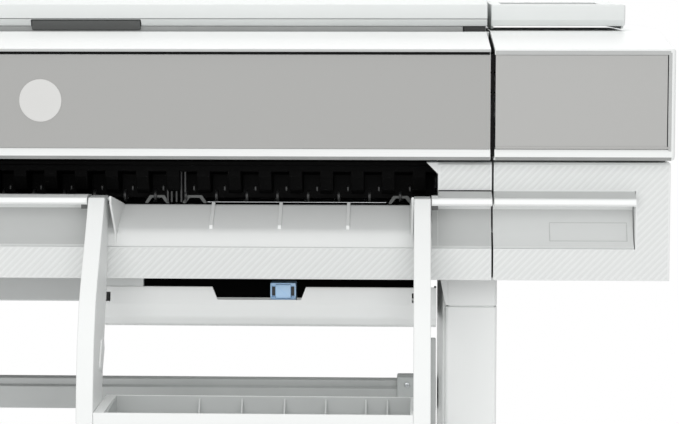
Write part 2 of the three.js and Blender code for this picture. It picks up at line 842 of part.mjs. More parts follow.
function buildTray() {
  const skin = [
    [-95, 680],
    [-98, 660],
    [-97, 645],
    [-90, 636],
    [-78, 632],
    [30, 632],
    [30, 646],
    [27.5, 646],
    [27.5, 634.5],
    [-77, 634.5],
    [-88, 638],
    [-94.5, 646],
    [-95.3, 660],
    [-92.3, 680],
  ];
  const cheek = [
    [-95, 680],
    [-98, 660],
    [-97, 645],
    [-90, 636],
    [-78, 632],
    [30, 632],
    [30, 646],
    [-40, 668],
    [-80, 680],
  ];
  const notch = alongY(
    [
      [182.5, 690],
      [188, 665.5],
      [284, 665.5],
      [289, 690],
    ],
    -110,
    -88,
  );
  const body = cut(
    join(alongX(skin, 56.5, 437.4), alongX(cheek, 56.5, 59), alongX(cheek, 434.9, 437.4)),
    notch,
    ...[66, 428].map((x) => box(x - 3, x + 3, 20, 50, 620, 650)),
  );
  const rail = box(60, 103, -93.5, -87, 676, 689.5);
  const barrel = bar("x", 61, 433, TRAY_HINGE.y, TRAY_HINGE.z, 4, 16);
  const hingeWeb = box(72, 422, 26, 33, 632, 641);
  const plate = box(246, 279, -92, -60, 650, 652);
  const stem = box(246, 279, -66, -60, 633, 652);
  add("lower_tray", join(body, rail, barrel, hingeWeb, plate, stem), LIGHT_GREY);

  const latch = cut(
    join(box(247.6, 277.3, -88, -70, 653, 684), box(252, 273, -90, -86, 664, 682)),
    box(253, 256, -95, -80, 668, 679),
    box(269, 272, -95, -80, 668, 679),
  );
  add("tray_latch", latch, BLUE);
}

buildStand();
buildChassis();
buildFrontPanel();
buildEndCovers();
buildMainCover();
buildInkDoor();
buildRollCover();
buildScanner();
buildFeed();
buildCarriage();
buildPlaten();
buildInk();
buildRoll();
buildStacker();
buildTray();

export default root;
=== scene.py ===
"""Looks of a 36 inch large format plotter with a scanner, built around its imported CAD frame.

Shapes are given in millimetres and placed in metres; +Z is up and -Y is the operator's side.
"""
import logging
import math
from dataclasses import dataclass
from enum import Enum
from typing import Iterable, Sequence

import bmesh
import bpy
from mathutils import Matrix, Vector


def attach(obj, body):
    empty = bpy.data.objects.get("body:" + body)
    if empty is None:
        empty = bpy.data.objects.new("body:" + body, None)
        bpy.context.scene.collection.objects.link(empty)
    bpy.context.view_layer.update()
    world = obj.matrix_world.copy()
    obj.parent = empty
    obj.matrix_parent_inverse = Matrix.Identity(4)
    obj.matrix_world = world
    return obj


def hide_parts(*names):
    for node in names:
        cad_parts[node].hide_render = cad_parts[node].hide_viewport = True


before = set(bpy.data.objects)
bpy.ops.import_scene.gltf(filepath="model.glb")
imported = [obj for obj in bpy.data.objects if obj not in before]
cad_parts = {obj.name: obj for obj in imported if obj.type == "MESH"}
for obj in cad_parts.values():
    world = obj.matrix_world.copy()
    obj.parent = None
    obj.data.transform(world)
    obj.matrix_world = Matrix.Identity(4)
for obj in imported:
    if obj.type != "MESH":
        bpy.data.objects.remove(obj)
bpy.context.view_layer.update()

LOG = logging.getLogger("plotter")
MM = 0.001
Point = tuple[float, float]
Corner = tuple[float, ...]

# Limits of the outline helpers: corners this flat or this sharp aren't rounded.
NEARLY_FLAT, NEARLY_FOLDED = math.radians(88), math.radians(2)
FILLET_SHARE, MITRE_FLOOR, LEAST_RADIUS = 0.49, 0.35, 0.02
# Distances in metres and angles at which meshes are merged, rounded and shaded.
SLIVER, WELD = 2e-6, 1e-5
PLANAR, BEVEL_OVER, SHARP_OVER = math.radians(1), math.radians(40), math.radians(38)
# Tones of the hollows' dust and painted shade, and of the painted shade by height, against the base
# colour, and limits of the gloss.
DUST_AND_SHADE_TONE, SHADOW_TONE = 0.45, 0.4
LEAST_ROUGHNESS, GRAIN_STRENGTH = 0.03, 0.6


class Axis(Enum):
    """The axis that an outline is carried along."""

    X = 0
    Y = 1
    Z = 2


# -------------------- outlines
def unit(a: Point, b: Point) -> Point:
    """Return the unit direction from a to b."""
    d = math.hypot(b[0] - a[0], b[1] - a[1]) or 1.0
    return (b[0] - a[0]) / d, (b[1] - a[1]) / d


def rounded(corners: Sequence[Corner], fillet: float = 0.0, steps: int = 5) -> list[Point]:
    """Round the corners of a closed outline.

    Args:
        corners: (u, v) or (u, v, radius) for each corner, in order.
        fillet: The radius of each corner that states none.
        steps: Segments in each rounded corner.

    Returns:
        The outline's points.
    """
    out: list[Point] = []
    n = len(corners)
    for i, corner in enumerate(corners):
        p = (corner[0], corner[1])
        radius = corner[2] if len(corner) > 2 else fillet
        before, after = corners[i - 1], corners[(i + 1) % n]
        d0, d1 = unit(p, before[:2]), unit(p, after[:2])
        cosine = max(-1.0, min(1.0, d0[0] * d1[0] + d0[1] * d1[1]))
        half = math.acos(cosine) / 2
        if radius <= 0 or half > NEARLY_FLAT or half < NEARLY_FOLDED:
            out.append(p)
            continue
        reach = radius / math.tan(half)
        room = min(math.dist(p, before[:2]), math.dist(p, after[:2])) * FILLET_SHARE
        if reach > room:
            radius, reach = radius * room / reach, room
        mid = (d0[0] + d1[0], d0[1] + d1[1])
        size = math.hypot(*mid)
        centre = (
            p[0] + mid[0] / size * radius / math.sin(half),
            p[1] + mid[1] / size * radius / math.sin(half),
        )
        a0 = math.atan2(p[1] + d0[1] * reach - centre[1], p[0] + d0[0] * reach - centre[0])
        a1 = math.atan2(p[1] + d1[1] * reach - centre[1], p[0] + d1[0] * reach - centre[0])
        sweep = (a1 - a0 + math.pi) % (2 * math.pi) - math.pi
        for k in range(steps + 1):
            a = a0 + sweep * k / steps
            out.append((centre[0] + radius * math.cos(a), centre[1] + radius * math.sin(a)))
    return out


def curve(start: Point, pull: Point, end: Point, count: int = 10) -> list[Point]:
    """Return points on a quadratic curve from start to end, drawn towards pull.

    Args:
        start: Where the curve starts.
        pull: The point it is drawn towards.
        end: Where it ends.
        count: Segments along it.

    Returns:
        The curve's points.
    """
    points = []
    for k in range(count + 1):
        t = k / count
        a, b, c = (1 - t) ** 2, 2 * t * (1 - t), t * t
        points.append(tuple(a * s + b * p + c * e for s, p, e in zip(start, pull, end)))
    return points


def inset(points: Sequence[Point], by: float) -> list[Point]:
    """Return a closed outline moved inwards by a small distance.

    Args:
        points: The outline.
        by: How far it moves.

    Returns:
        The moved outline.
    """
    area = sum(a[0] * b[1] - b[0] * a[1] for a, b in zip(points, [*points[1:], points[0]]))
    side = 1.0 if area > 0 else -1.0
    out = []
    for i, p in enumerate(points):
        d0, d1 = unit(points[i - 1], p), unit(p, points[(i + 1) % len(points)])
        n0, n1 = (-d0[1] * side, d0[0] * side), (-d1[1] * side, d1[0] * side)
        scale = by / max(MITRE_FLOOR, 1 + n0[0] * n1[0] + n0[1] * n1[1])
        out.append((p[0] + (n0[0] + n1[0]) * scale, p[1] + (n0[1] + n1[1]) * scale))
    return out


def shrunk(corners: Sequence[Corner], fillet: float, steps: int, by: float) -> list[Point]:
    """Return a rounded outline moved inwards, with the same number of points at any distance.

    Args:
        corners: (u, v) or (u, v, radius) for each corner.
        fillet: The radius of each corner that states none.
        steps: Segments in each rounded corner.
        by: How far the outline is moved inwards.

    Returns:
        The outline's points.
    """
    moved = inset([corner[:2] for corner in corners], by) if by else corners
    made = []
    for corner, place in zip(corners, moved):
        radius = corner[2] if len(corner) > 2 else fillet
        made.append((place[0], place[1], max(LEAST_RADIUS, radius - by) if radius > 0 else 0.0))
    return rounded(made, 0.0, steps)


def span_at(side: int, low: float, high: float) -> Point:
    """Return a span on one side of the middle, the lower end first."""
    return (low, high) if side > 0 else (-high, -low)


def radii_at(side: int, near: float, far: float) -> Point:
    """Return the radii nearest and farthest from the middle, in the order of a span."""
    return (near, far) if side > 0 else (far, near)


def mirrored(side: int, points: Sequence[Corner]) -> list[Corner]:
    """Return an (x, y) outline drawn for the right side, on either side.

    Args:
        side: -1 for the left, 1 for the right.
        points: The outline.

    Returns:
        The outline on that side.
    """
    made = [(side * p[0], *p[1:]) for p in points]
    return made if side > 0 else made[::-1]


class Shape:
    """A mesh under construction from closed bodies, in millimetres."""

    def __init__(self) -> None:
        """Start with no faces."""
        self.bm = bmesh.new()

    def skin(self, rings: Sequence[Sequence[Vector]]) -> None:
        """Close a stack of rings of equal count into one body with capped ends.

        Args:
            rings: The rings, from one end to the other.
        """
        rows = [[self.bm.verts.new(p) for p in ring] for ring in rings]
        faces = [self.bm.faces.new(rows[0]), self.bm.faces.new(list(reversed(rows[-1])))]
        count = len(rows[0])
        for low, high in zip(rows, rows[1:]):
            for i in range(count):
                j = (i + 1) % count
                faces.append(self.bm.faces.new((low[i], high[i], high[j], low[j])))
        bmesh.ops.recalc_face_normals(self.bm, faces=faces)

    def prism(
        self,
        corners: Sequence[Corner],
        low: float,
        high: float,
        axis: Axis = Axis.X,
        fillet: float = 0.0,
        ends: Point = (0.4, 0.4),
        steps: int = 5,
    ) -> "Shape":
        """Carry an outline along an axis, with rounded corners and rounded end edges.

        Args:
            corners: The outline: (y, z) along X, (x, z) along Y, (x, y) along Z.
            low: Where the body starts on the axis.
            high: Where it ends.
            axis: The axis.
            fillet: The radius of corners that state none.
            ends: The radius of the edges round the low and the high end.
            steps: Segments in each rounded corner.

        Returns:
            This shape.
        """
        levels: list[tuple[float, float]] = []
        for radius, place, way in ((ends[0], low, 1), (ends[1], high, -1)):
            turns = 3 if radius > 1 else 2
            rows = [(0.0, place)]
            if radius > 0:
                rows = []
                for k in range(turns + 1):
                    a = math.pi / 2 * k / turns
                    level = place + way * radius * (1 - math.cos(a))
                    rows.append((radius * (1 - math.sin(a)), level))
            levels += rows if way > 0 else rows[::-1]
        rings = []
        for by, at in levels:
            ring = shrunk(corners, fillet, steps, by)
            rings.append([self.spot(axis, at, u, v) for u, v in ring])
        self.skin(rings)
        return self

    @staticmethod
    def spot(axis: Axis, at: float, u: float, v: float) -> Vector:
        """Return the point at a place on an axis with the other two coordinates u and v.

        Args:
            axis: The axis.
            at: The place on it.
            u: The first other coordinate.
            v: The second other coordinate.

        Returns:
            The point.
        """
        if axis is Axis.X:
            return Vector((at, u, v))
        if axis is Axis.Y:
            return Vector((u, at, v))
        return Vector((u, v, at))

    def block(self, x: Point, y: Point, z: Point, radius: float = 0.6) -> "Shape":
        """Add a box with rounded edges, from its limits on each axis."""
        corners = [(x[0], z[0]), (x[1], z[0]), (x[1], z[1]), (x[0], z[1])]
        return self.prism(corners, y[0], y[1], Axis.Y, radius, (radius, radius), 3)

    def rod(
        self, axis: Axis, low: float, high: float, u: float, v: float, radius: float,
        sides: int = 32, edge: float = 0.4,
    ) -> "Shape":
        """Add a round bar along an axis, centred on u and v.

        Args:
            axis: The direction of the bar.
            low: Where it starts.
            high: Where it ends.
            u: The axis's first other coordinate.
            v: The axis's second other coordinate.
            radius: The bar's radius.
            sides: Flats round the bar.
            edge: The radius of its end edges.

        Returns:
            This shape.
        """
        turn = 2 * math.pi / sides
        ring = [
            (u + radius * math.cos(turn * k), v + radius * math.sin(turn * k))
            for k in range(sides)
        ]
        return self.prism(ring, low, high, axis, 0.0, (edge, edge))

    def lathe(
        self, axis: Axis, profile: Sequence[Point], u: float, v: float, sides: int = 48
    ) -> "Shape":
        """Turn a profile about an axis.

        Args:
            axis: The direction of the turning axis.
            profile: (place on the axis, radius), from one end to the other, radii over zero.
            u: The axis's first other coordinate.
            v: The axis's second other coordinate.
            sides: Steps round the axis.

        Returns:
            This shape.
        """
        turn = 2 * math.pi / sides
        rings = [
            [
                self.spot(axis, at, u + r * math.cos(turn * k), v + r * math.sin(turn * k))
                for k in range(sides)
            ]
            for at, r in profile
        ]
        self.skin(rings)
        return self

    def mesh_object(self, name: str) -> bpy.types.Object:
        """Return the shape as an object in metres, at the origin.

        Args:
            name: The object's name.

        Returns:
            The object, in the scene.
        """
        mesh = bpy.data.meshes.new(name)
        bmesh.ops.scale(self.bm, vec=(MM, MM, MM), verts=self.bm.verts)
        bmesh.ops.dissolve_degenerate(self.bm, dist=SLIVER, edges=self.bm.edges)
        self.bm.to_mesh(mesh)
        self.bm.free()
        thing = bpy.data.objects.new(name, mesh)
        bpy.context.scene.collection.objects.link(thing)
        return thing


def settled(thing: bpy.types.Object) -> bpy.types.Object:
    """Turn an object's modifiers into its plain mesh and remove them.

    Args:
        thing: The object.

    Returns:
        The same object.
    """
    graph = bpy.context.evaluated_depsgraph_get()
    mesh = bpy.data.meshes.new_from_object(thing.evaluated_get(graph))
    thing.modifiers.clear()
    old, thing.data = thing.data, mesh
    bpy.data.meshes.remove(old)
    return thing


def cut_away(body: Shape, tools: Shape, name: str) -> bpy.types.Object:
    """Subtract one shape from another.

    Args:
        body: The shape that stays.
        tools: The shape that is taken away.
        name: The new object's name.

    Returns:
        The object.
    """
    thing, cutter = body.mesh_object(name), tools.mesh_object(name + "_tool")
    boolean = thing.modifiers.new("cut", "BOOLEAN")
    boolean.object, boolean.solver, boolean.use_self = cutter, "EXACT", True
    settled(thing)
    bpy.data.objects.remove(cutter)
    return thing


def bevel_edges(thing: bpy.types.Object, width: float, segments: int = 2) -> bpy.types.Object:
    """Round an object's sharp edges by a width in millimetres.

    Args:
        thing: The object.
        width: The width of the rounding.
        segments: Steps across each edge.

    Returns:
        The same object.
    """
    bevel = thing.modifiers.new("edges", "BEVEL")
    bevel.width, bevel.segments = width * MM, segments
    bevel.limit_method, bevel.angle_limit = "ANGLE", BEVEL_OVER
    bevel.use_clamp_overlap = True
    return settled(thing)


def softened(node: str, width: float = 0.5, segments: int = 2) -> bpy.types.Object:
    """Return a copy of a CAD node with merged faces and rounded edges.

    Args:
        node: The CAD node.
        width: The width of the rounding, in millimetres.
        segments: Steps across each edge.

    Returns:
        The copy.
    """
    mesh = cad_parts[node].data.copy()
    mesh.materials.clear()
    bm = bmesh.new()
    bm.from_mesh(mesh)
    bmesh.ops.remove_doubles(bm, verts=bm.verts, dist=WELD)
    bmesh.ops.dissolve_limit(bm, angle_limit=PLANAR, verts=bm.verts, edges=bm.edges)
    bm.to_mesh(mesh)
    bm.free()
    thing = bpy.data.objects.new(node + "_looks", mesh)
    bpy.context.scene.collection.objects.link(thing)
    return bevel_edges(thing, width, segments)


# -------------------- materials
def join_up(tree: bpy.types.NodeTree, *pairs: tuple) -> None:
    """Link (node, output name) to (node, input name) for each pair of ends given."""
    for a, out, b, into in pairs:
        tree.links.new(a.outputs[out], b.inputs[into])


class Effects:
    """The shader node groups that the finishes share."""

    def __init__(self) -> None:
        """Build each group once."""
        self.grain = self.make_grain()
        self.edge_hollow_masks = self.make_edge_and_hollow_masks()
        self.brush = self.make_brush()

    @staticmethod
    def group(name: str, inputs: dict[str, float], outputs: Sequence[str]) -> tuple:
        """Return a new shader group with its input and output nodes.

        Args:
            name: The group's name.
            inputs: Each input and its value.
            outputs: The outputs' names.

        Returns:
            The group, its input node and its output node.
        """
        tree = bpy.data.node_groups.new(name, "ShaderNodeTree")
        for label, value in inputs.items():
            socket = tree.interface.new_socket(label, in_out="INPUT", socket_type="NodeSocketFloat")
            socket.default_value = value
        for label in outputs:
            tree.interface.new_socket(label, in_out="OUTPUT", socket_type="NodeSocketFloat")
        return tree, tree.nodes.new("NodeGroupInput"), tree.nodes.new("NodeGroupOutput")

    def make_grain(self) -> bpy.types.NodeTree:
        """Return the fine surface grain: a height, and a slow drift of tone.

        Returns:
            The group.
        """
        tree, given, result = self.group(
            "surface_grain", {"Fineness": 900.0, "Drift": 5.0}, ("Height", "Tone")
        )
        place = tree.nodes.new("ShaderNodeTexCoord")
        fine = tree.nodes.new("ShaderNodeTexNoise")
        fine.inputs["Detail"].default_value = 3.0
        slow = tree.nodes.new("ShaderNodeTexNoise")
        slow.inputs["Detail"].default_value = 4.0
        join_up(
            tree,
            (place, "Object", fine, "Vector"),
            (given, "Fineness", fine, "Scale"),
            (place, "Object", slow, "Vector"),
            (given, "Drift", slow, "Scale"),
            (fine, "Fac", result, "Height"),
            (slow, "Fac", result, "Tone"),
        )
        return tree

    def make_edge_and_hollow_masks(self) -> bpy.types.NodeTree:
        """Return masks of handled edges, for rubbed wear and a painted highlight, and of hollows,
        for dust and painted shade.

        Returns:
            The group.
        """
        tree, given, result = self.group(
            "edge_and_hollow_masks", {"Reach": 0.08, "Patches": 38.0}, ("Edge", "Hollow")
        )
        shape = tree.nodes.new("ShaderNodeNewGeometry")
        place = tree.nodes.new("ShaderNodeTexCoord")
        noise = tree.nodes.new("ShaderNodeTexNoise")
        join_up(tree, (place, "Object", noise, "Vector"), (given, "Patches", noise, "Scale"))
        for label, start, way in (("Edge", 0.51, 1.0), ("Hollow", 0.49, -1.0)):
            end = tree.nodes.new("ShaderNodeMath")
            end.operation = "MULTIPLY_ADD"
            end.inputs[1].default_value, end.inputs[2].default_value = way, start
            band = tree.nodes.new("ShaderNodeMapRange")
            band.inputs["From Min"].default_value = start
            patchy = tree.nodes.new("ShaderNodeMath")
            patchy.operation = "MULTIPLY"
            join_up(
                tree,
                (given, "Reach", end, 0),
                (shape, "Pointiness", band, "Value"),
                (end, 0, band, "From Max"),
                (band, "Result", patchy, 0),
                (noise, "Fac", patchy, 1),
                (patchy, 0, result, label),
            )
        return tree

    def make_brush(self) -> bpy.types.NodeTree:
        """Return the long scratches of brushed metal: a height, and a streaked tone.

        Returns:
            The group.
        """
        tree, given, result = self.group(
            "brushed_lines", {"Along": 6.0, "Across": 1500.0}, ("Height", "Tone")
        )
        place = tree.nodes.new("ShaderNodeTexCoord")
        stretch = tree.nodes.new("ShaderNodeCombineXYZ")
        scale = tree.nodes.new("ShaderNodeVectorMath")
        scale.operation = "MULTIPLY"
        noise = tree.nodes.new("ShaderNodeTexNoise")
        noise.inputs["Scale"].default_value = 1.0
        noise.inputs["Detail"].default_value = 2.0
        join_up(
            tree,
            (given, "Along", stretch, "X"),
            (given, "Across", stretch, "Y"),
            (given, "Across", stretch, "Z"),
            (place, "Object", scale, 0),
            (stretch, "Vector", scale, 1),
            (scale, 0, noise, "Vector"),
            (noise, "Fac", result, "Height"),
            (noise, "Fac", result, "Tone"),
        )
        return tree


def linear(colour: Sequence[float]) -> tuple[float, float, float, float]:
    """Turn a display colour of 0 to 255 into a linear one.

    Args:
        colour: Red, green and blue.

    Returns:
        Linear red, green and blue, and alpha.
    """
    parts = [c / 255 for c in colour]
    made = [c / 12.92 if c <= 0.04045 else ((c + 0.055) / 1.055) ** 2.4 for c in parts]
    return made[0], made[1], made[2], 1.0


@dataclass(frozen=True)
class Finish:
    """A finish: colour, gloss, grain, edges with wear and a painted highlight, hollows with dust
    and painted shade, and painted shade by height.

    Attributes:
        name: The material's name.
        colour: Display colour, 0 to 255.
        roughness: Middle roughness.
        metallic: 1 for bare metal.
        fineness: Grain repeats in a metre.
        depth: Grain depth in millimetres.
        drift: How far the tone wanders.
        edge_wear_and_highlight: How much handled edges lighten or darken, partly by rubbed wear and
            partly by a painted highlight.
        lit_worn_edge: Display colour of the rubbed edges, which also carries their painted
            highlight.
        hollow_dust_and_shade: How much the hollows darken, partly with dust and partly with painted
            shade.
        coat: Clear coat weight.
        brushed: Whether the grain is drawn out along X.
        shine: Strength of the plain reflection.
        unevenness: How far the roughness wanders.
        shade: Heights between which the tone falls, in millimetres, and by how much; this is
            painted shade that darkens the tone upwards.
    """

    name: str
    colour: tuple[float, float, float]
    roughness: float
    metallic: float = 0.0
    fineness: float = 900.0
    depth: float = 0.03
    drift: float = 0.03
    edge_wear_and_highlight: float = 0.12
    lit_worn_edge: tuple[float, float, float] = (250, 250, 248)
    hollow_dust_and_shade: float = 0.25
    coat: float = 0.0
    brushed: bool = False
    shine: float = 0.5
    unevenness: float = 0.07
    shade: tuple[float, float, float] = (0.0, 1.0, 0.0)

    def material(self, effects: Effects) -> bpy.types.Material:
        """Build the material with the shared effects and return it.

        Args:
            effects: The shared node groups.

        Returns:
            The material.
        """
        made = bpy.data.materials.new(self.name)
        made.use_nodes = True
        tree = made.node_tree
        shader = tree.nodes["Principled BSDF"]
        shader.inputs["Metallic"].default_value = self.metallic
        shader.inputs["Coat Weight"].default_value = self.coat
        shader.inputs["Specular IOR Level"].default_value = self.shine
        grain = tree.nodes.new("ShaderNodeGroup")
        grain.node_tree = effects.brush if self.brushed else effects.grain
        if not self.brushed:
            grain.inputs["Fineness"].default_value = self.fineness
        edge_hollow_masks = tree.nodes.new("ShaderNodeGroup")
        edge_hollow_masks.node_tree = effects.edge_hollow_masks

        tones = tree.nodes.new("ShaderNodeMix")
        tones.data_type = "RGBA"
        base = linear(self.colour)
        tones.inputs["A"].default_value = tuple(c * (1 - self.drift) for c in base[:3]) + (1,)
        tones.inputs["B"].default_value = tuple(c * (1 + self.drift) for c in base[:3]) + (1,)
        # Edges: rubbed wear and a painted highlight. Hollows: dust and painted shade.
        worn_and_lit_edges = self.blend(tree, linear(self.lit_worn_edge), self.edge_wear_and_highlight)
        dust_and_shade = self.blend(tree, tuple(c * DUST_AND_SHADE_TONE for c in base[:3]) + (1,), self.hollow_dust_and_shade)
        # Painted shade: the tone darkens with height between the two heights given in shade.
        shaded = self.blend(tree, tuple(c * SHADOW_TONE for c in base[:3]) + (1,), self.shade[2])
        place = tree.nodes.new("ShaderNodeTexCoord")
        height = tree.nodes.new("ShaderNodeSeparateXYZ")
        rise = tree.nodes.new("ShaderNodeMapRange")
        rise.inputs["From Min"].default_value = self.shade[0] * MM
        rise.inputs["From Max"].default_value = self.shade[1] * MM
        gloss = tree.nodes.new("ShaderNodeMapRange")
        smoothest = max(LEAST_ROUGHNESS, self.roughness - self.unevenness)
        gloss.inputs["To Min"].default_value = smoothest
        gloss.inputs["To Max"].default_value = min(1.0, self.roughness + self.unevenness)
        bump = tree.nodes.new("ShaderNodeBump")
        bump.inputs["Distance"].default_value = self.depth * MM
        bump.inputs["Strength"].default_value = GRAIN_STRENGTH
        join_up(
            tree,
            (grain, "Tone", tones, "Factor"),
            (edge_hollow_masks, "Edge", worn_and_lit_edges[0], 0),
            (edge_hollow_masks, "Hollow", dust_and_shade[0], 0),
            (tones, "Result", worn_and_lit_edges[1], "A"),
            (worn_and_lit_edges[1], "Result", dust_and_shade[1], "A"),
            (dust_and_shade[1], "Result", shaded[1], "A"),
            (place, "Object", height, "Vector"),
            (height, "Z", rise, "Value"),
            (rise, "Result", shaded[0], 0),
            (shaded[1], "Result", shader, "Base Color"),
            (grain, "Tone", gloss, "Value"),
            (gloss, "Result", shader, "Roughness"),
            (grain, "Height", bump, "Height"),
            (bump, "Normal", shader, "Normal"),
        )
        return made

    @staticmethod
    def blend(tree: bpy.types.NodeTree, colour: tuple, amount: float) -> tuple:
        """Return (mask strength node, mix node) that lays a colour over another by a mask.

        Args:
            tree: The material's tree.
            colour: The colour on top.
            amount: How strongly it covers.

        Returns:
            The node that takes the mask, and the mixing node.
        """
        strength = tree.nodes.new("ShaderNodeMath")
        strength.operation = "MULTIPLY"
        strength.inputs[1].default_value = amount
        mix = tree.nodes.new("ShaderNodeMix")
        mix.data_type = "RGBA"
        mix.inputs["B"].default_value = colour
        tree.links.new(strength.outputs[0], mix.inputs["Factor"])
        return strength, mix


class Look(Enum):
    """Each finish on the machine."""

    WHITE = Finish("white_casing", (235, 237, 236), 0.46)
    TEXTURED = Finish("textured_casing", (220, 222, 221), 0.55)
    RAMP = Finish("ramp_casing", (228, 230, 229), 0.5)
    # Painted highlight: a brighter copy of the white plastic, for the lip's front.
    LIP_HIGHLIGHT = Finish("lip_painted_highlight", (249, 251, 250), 0.4)
    FACING = Finish("front_casing", (228, 230, 229), 0.5)
    # Painted shade: a darker copy of the white plastic for the hollow under the lip, darkening
    # further upwards.
    UNDER_LIP_SHADE = Finish("under_lip_painted_shade", (220, 222, 221), 0.6, shine=0.3, shade=(732, 782, 0.42))
    # Painted shade: a darker copy of the white plastic for the lip's slope under the overhang.
    OVERHANG_SHADE = Finish("overhang_painted_shade", (204, 206, 205), 0.6, shine=0.3)
    # Painted shade: a still darker copy for the hollow beside the stacker's arms, darkening further
    # upwards.
    DEEP_UNDER_LIP_SHADE = Finish(
        "deep_under_lip_painted_shade", (200, 202, 201), 0.6, shine=0.3, shade=(732, 782, 0.42)
    )
    # Painted shade: a grey for the bevels round the panels and the nameplate's edge lines.
    BEVEL = Finish("rim_painted_shade", (186, 188, 187), 0.55, shine=0.3)
    # Painted shade: a dark grey for the chamfers under the front edges.
    CHAMFER_SHADE = Finish("chamfer_painted_shade", (150, 152, 151), 0.6, shine=0.3)
    # Partly a seal, partly painted shade: a grey for the gap under the scanner.
    GASKET_AND_SHADE = Finish("gasket_and_gap_shade", (164, 166, 165), 0.65, shine=0.3)
    SCANNER = Finish("scanner_casing", (224, 227, 226), 0.5)
    LIGHT = Finish("light_casing", (224, 227, 226), 0.5)
    # Painted shade: a darker copy of the white plastic for the bin's inside and fins.
    INSIDE = Finish("bin_interior_shade", (206, 209, 208), 0.55)
    PANEL = Finish("grey_panel", (167, 167, 165), 0.5, drift=0.004, depth=0.003, unevenness=0.01,
                   edge_wear_and_highlight=0.0, hollow_dust_and_shade=0.0)
    DOOR = Finish("door_panel", (176, 176, 174), 0.5, drift=0.004, depth=0.003, unevenness=0.01,
                  edge_wear_and_highlight=0.0, hollow_dust_and_shade=0.0)
    BADGE = Finish("badge_metal", (212, 212, 210), 0.42, drift=0.02, brushed=True, depth=0.01)
    GREY = Finish("frame_paint", (172, 175, 174), 0.5, fineness=500, depth=0.05)
    MID = Finish("trough_plastic", (176, 180, 179), 0.5)
    STAND = Finish("stand_paint", (243, 245, 244), 0.48, fineness=420, depth=0.06)
    CHANNEL = Finish("channel_paint", (230, 232, 231), 0.5, fineness=500, depth=0.05)
    DARK = Finish("dark_plastic", (78, 80, 79), 0.5, lit_worn_edge=(130, 130, 128))
    BLACK = Finish("black_plastic", (22, 23, 23), 0.42, lit_worn_edge=(70, 70, 70))
    SHROUD = Finish("shroud_plastic", (4, 4, 4), 0.65, lit_worn_edge=(12, 12, 12), shine=0.06)
    # Painted shade: near black, for sheets and strips set in gaps and openings where there is only
    # shade.
    SHADE_SHEET = Finish("painted_recess_shade", (20, 20, 20), 0.7, lit_worn_edge=(30, 30, 30), shine=0.1)
    STEEL = Finish("bare_steel", (190, 193, 195), 0.3, metallic=1.0, brushed=True)
    CHASSIS = Finish("chassis_zinc", (176, 180, 182), 0.42, metallic=0.85, fineness=60, drift=0.1)
    RUBBER = Finish("roller_rubber", (42, 42, 43), 0.8, lit_worn_edge=(90, 90, 90))
    SCREEN = Finish("screen_glass", (14, 17, 20), 0.08, drift=0.05, depth=0.0, coat=1.0, edge_wear_and_highlight=0.0)
    BLUE = Finish("blue_latch", (166, 210, 250), 0.3, depth=0.01, edge_wear_and_highlight=0.3)
    CYAN = Finish("ink_cyan", (24, 150, 200), 0.4)
    MAGENTA = Finish("ink_magenta", (196, 44, 112), 0.4)
    YELLOW = Finish("ink_yellow", (236, 204, 52), 0.4)
    INK_BLACK = Finish("ink_black", (38, 38, 39), 0.4)


class Workshop:
    """Dresses finished pieces and hangs them on the frame."""

    def __init__(self) -> None:
        """Build every material once."""
        effects = Effects()
        self.materials = {look: look.value.material(effects) for look in Look}

    def place(
        self,
        thing: bpy.types.Object,
        look: Look,
        body: str,
        slot: str,
        replaces: Iterable[str] = (),
    ) -> bpy.types.Object:
        """Give a piece its finish, its body and the nodes it stands for.

        Args:
            thing: The piece, in place.
            look: Its finish.
            body: The CAD body that carries it.
            slot: Not used.
            replaces: CAD nodes that it is shown instead of.

        Returns:
            The piece.
        """
        thing.data.materials.clear()
        thing.data.materials.append(self.materials[look])
        for face in thing.data.polygons:
            face.material_index = 0
        thing.data.shade_smooth()
        thing.data.set_sharp_from_angle(angle=SHARP_OVER)
        even = thing.modifiers.new("normals", "WEIGHTED_NORMAL")
        even.weight, even.keep_sharp = 80, True
        settled(thing)
        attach(thing, body)
        nodes = list(replaces)
        if nodes:
            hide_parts(*nodes)
        LOG.info("%s on %s, %d faces", thing.name, body, len(thing.data.polygons))
        return thing

    def keep(self, node: str, look: Look) -> None:
        """Give a CAD node that stays as it is a finish.

        Args:
            node: The CAD node.
            look: Its finish.
        """
        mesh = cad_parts[node].data
        mesh.materials.clear()
        mesh.materials.append(self.materials[look])
        LOG.info("%s kept as its CAD node", node)


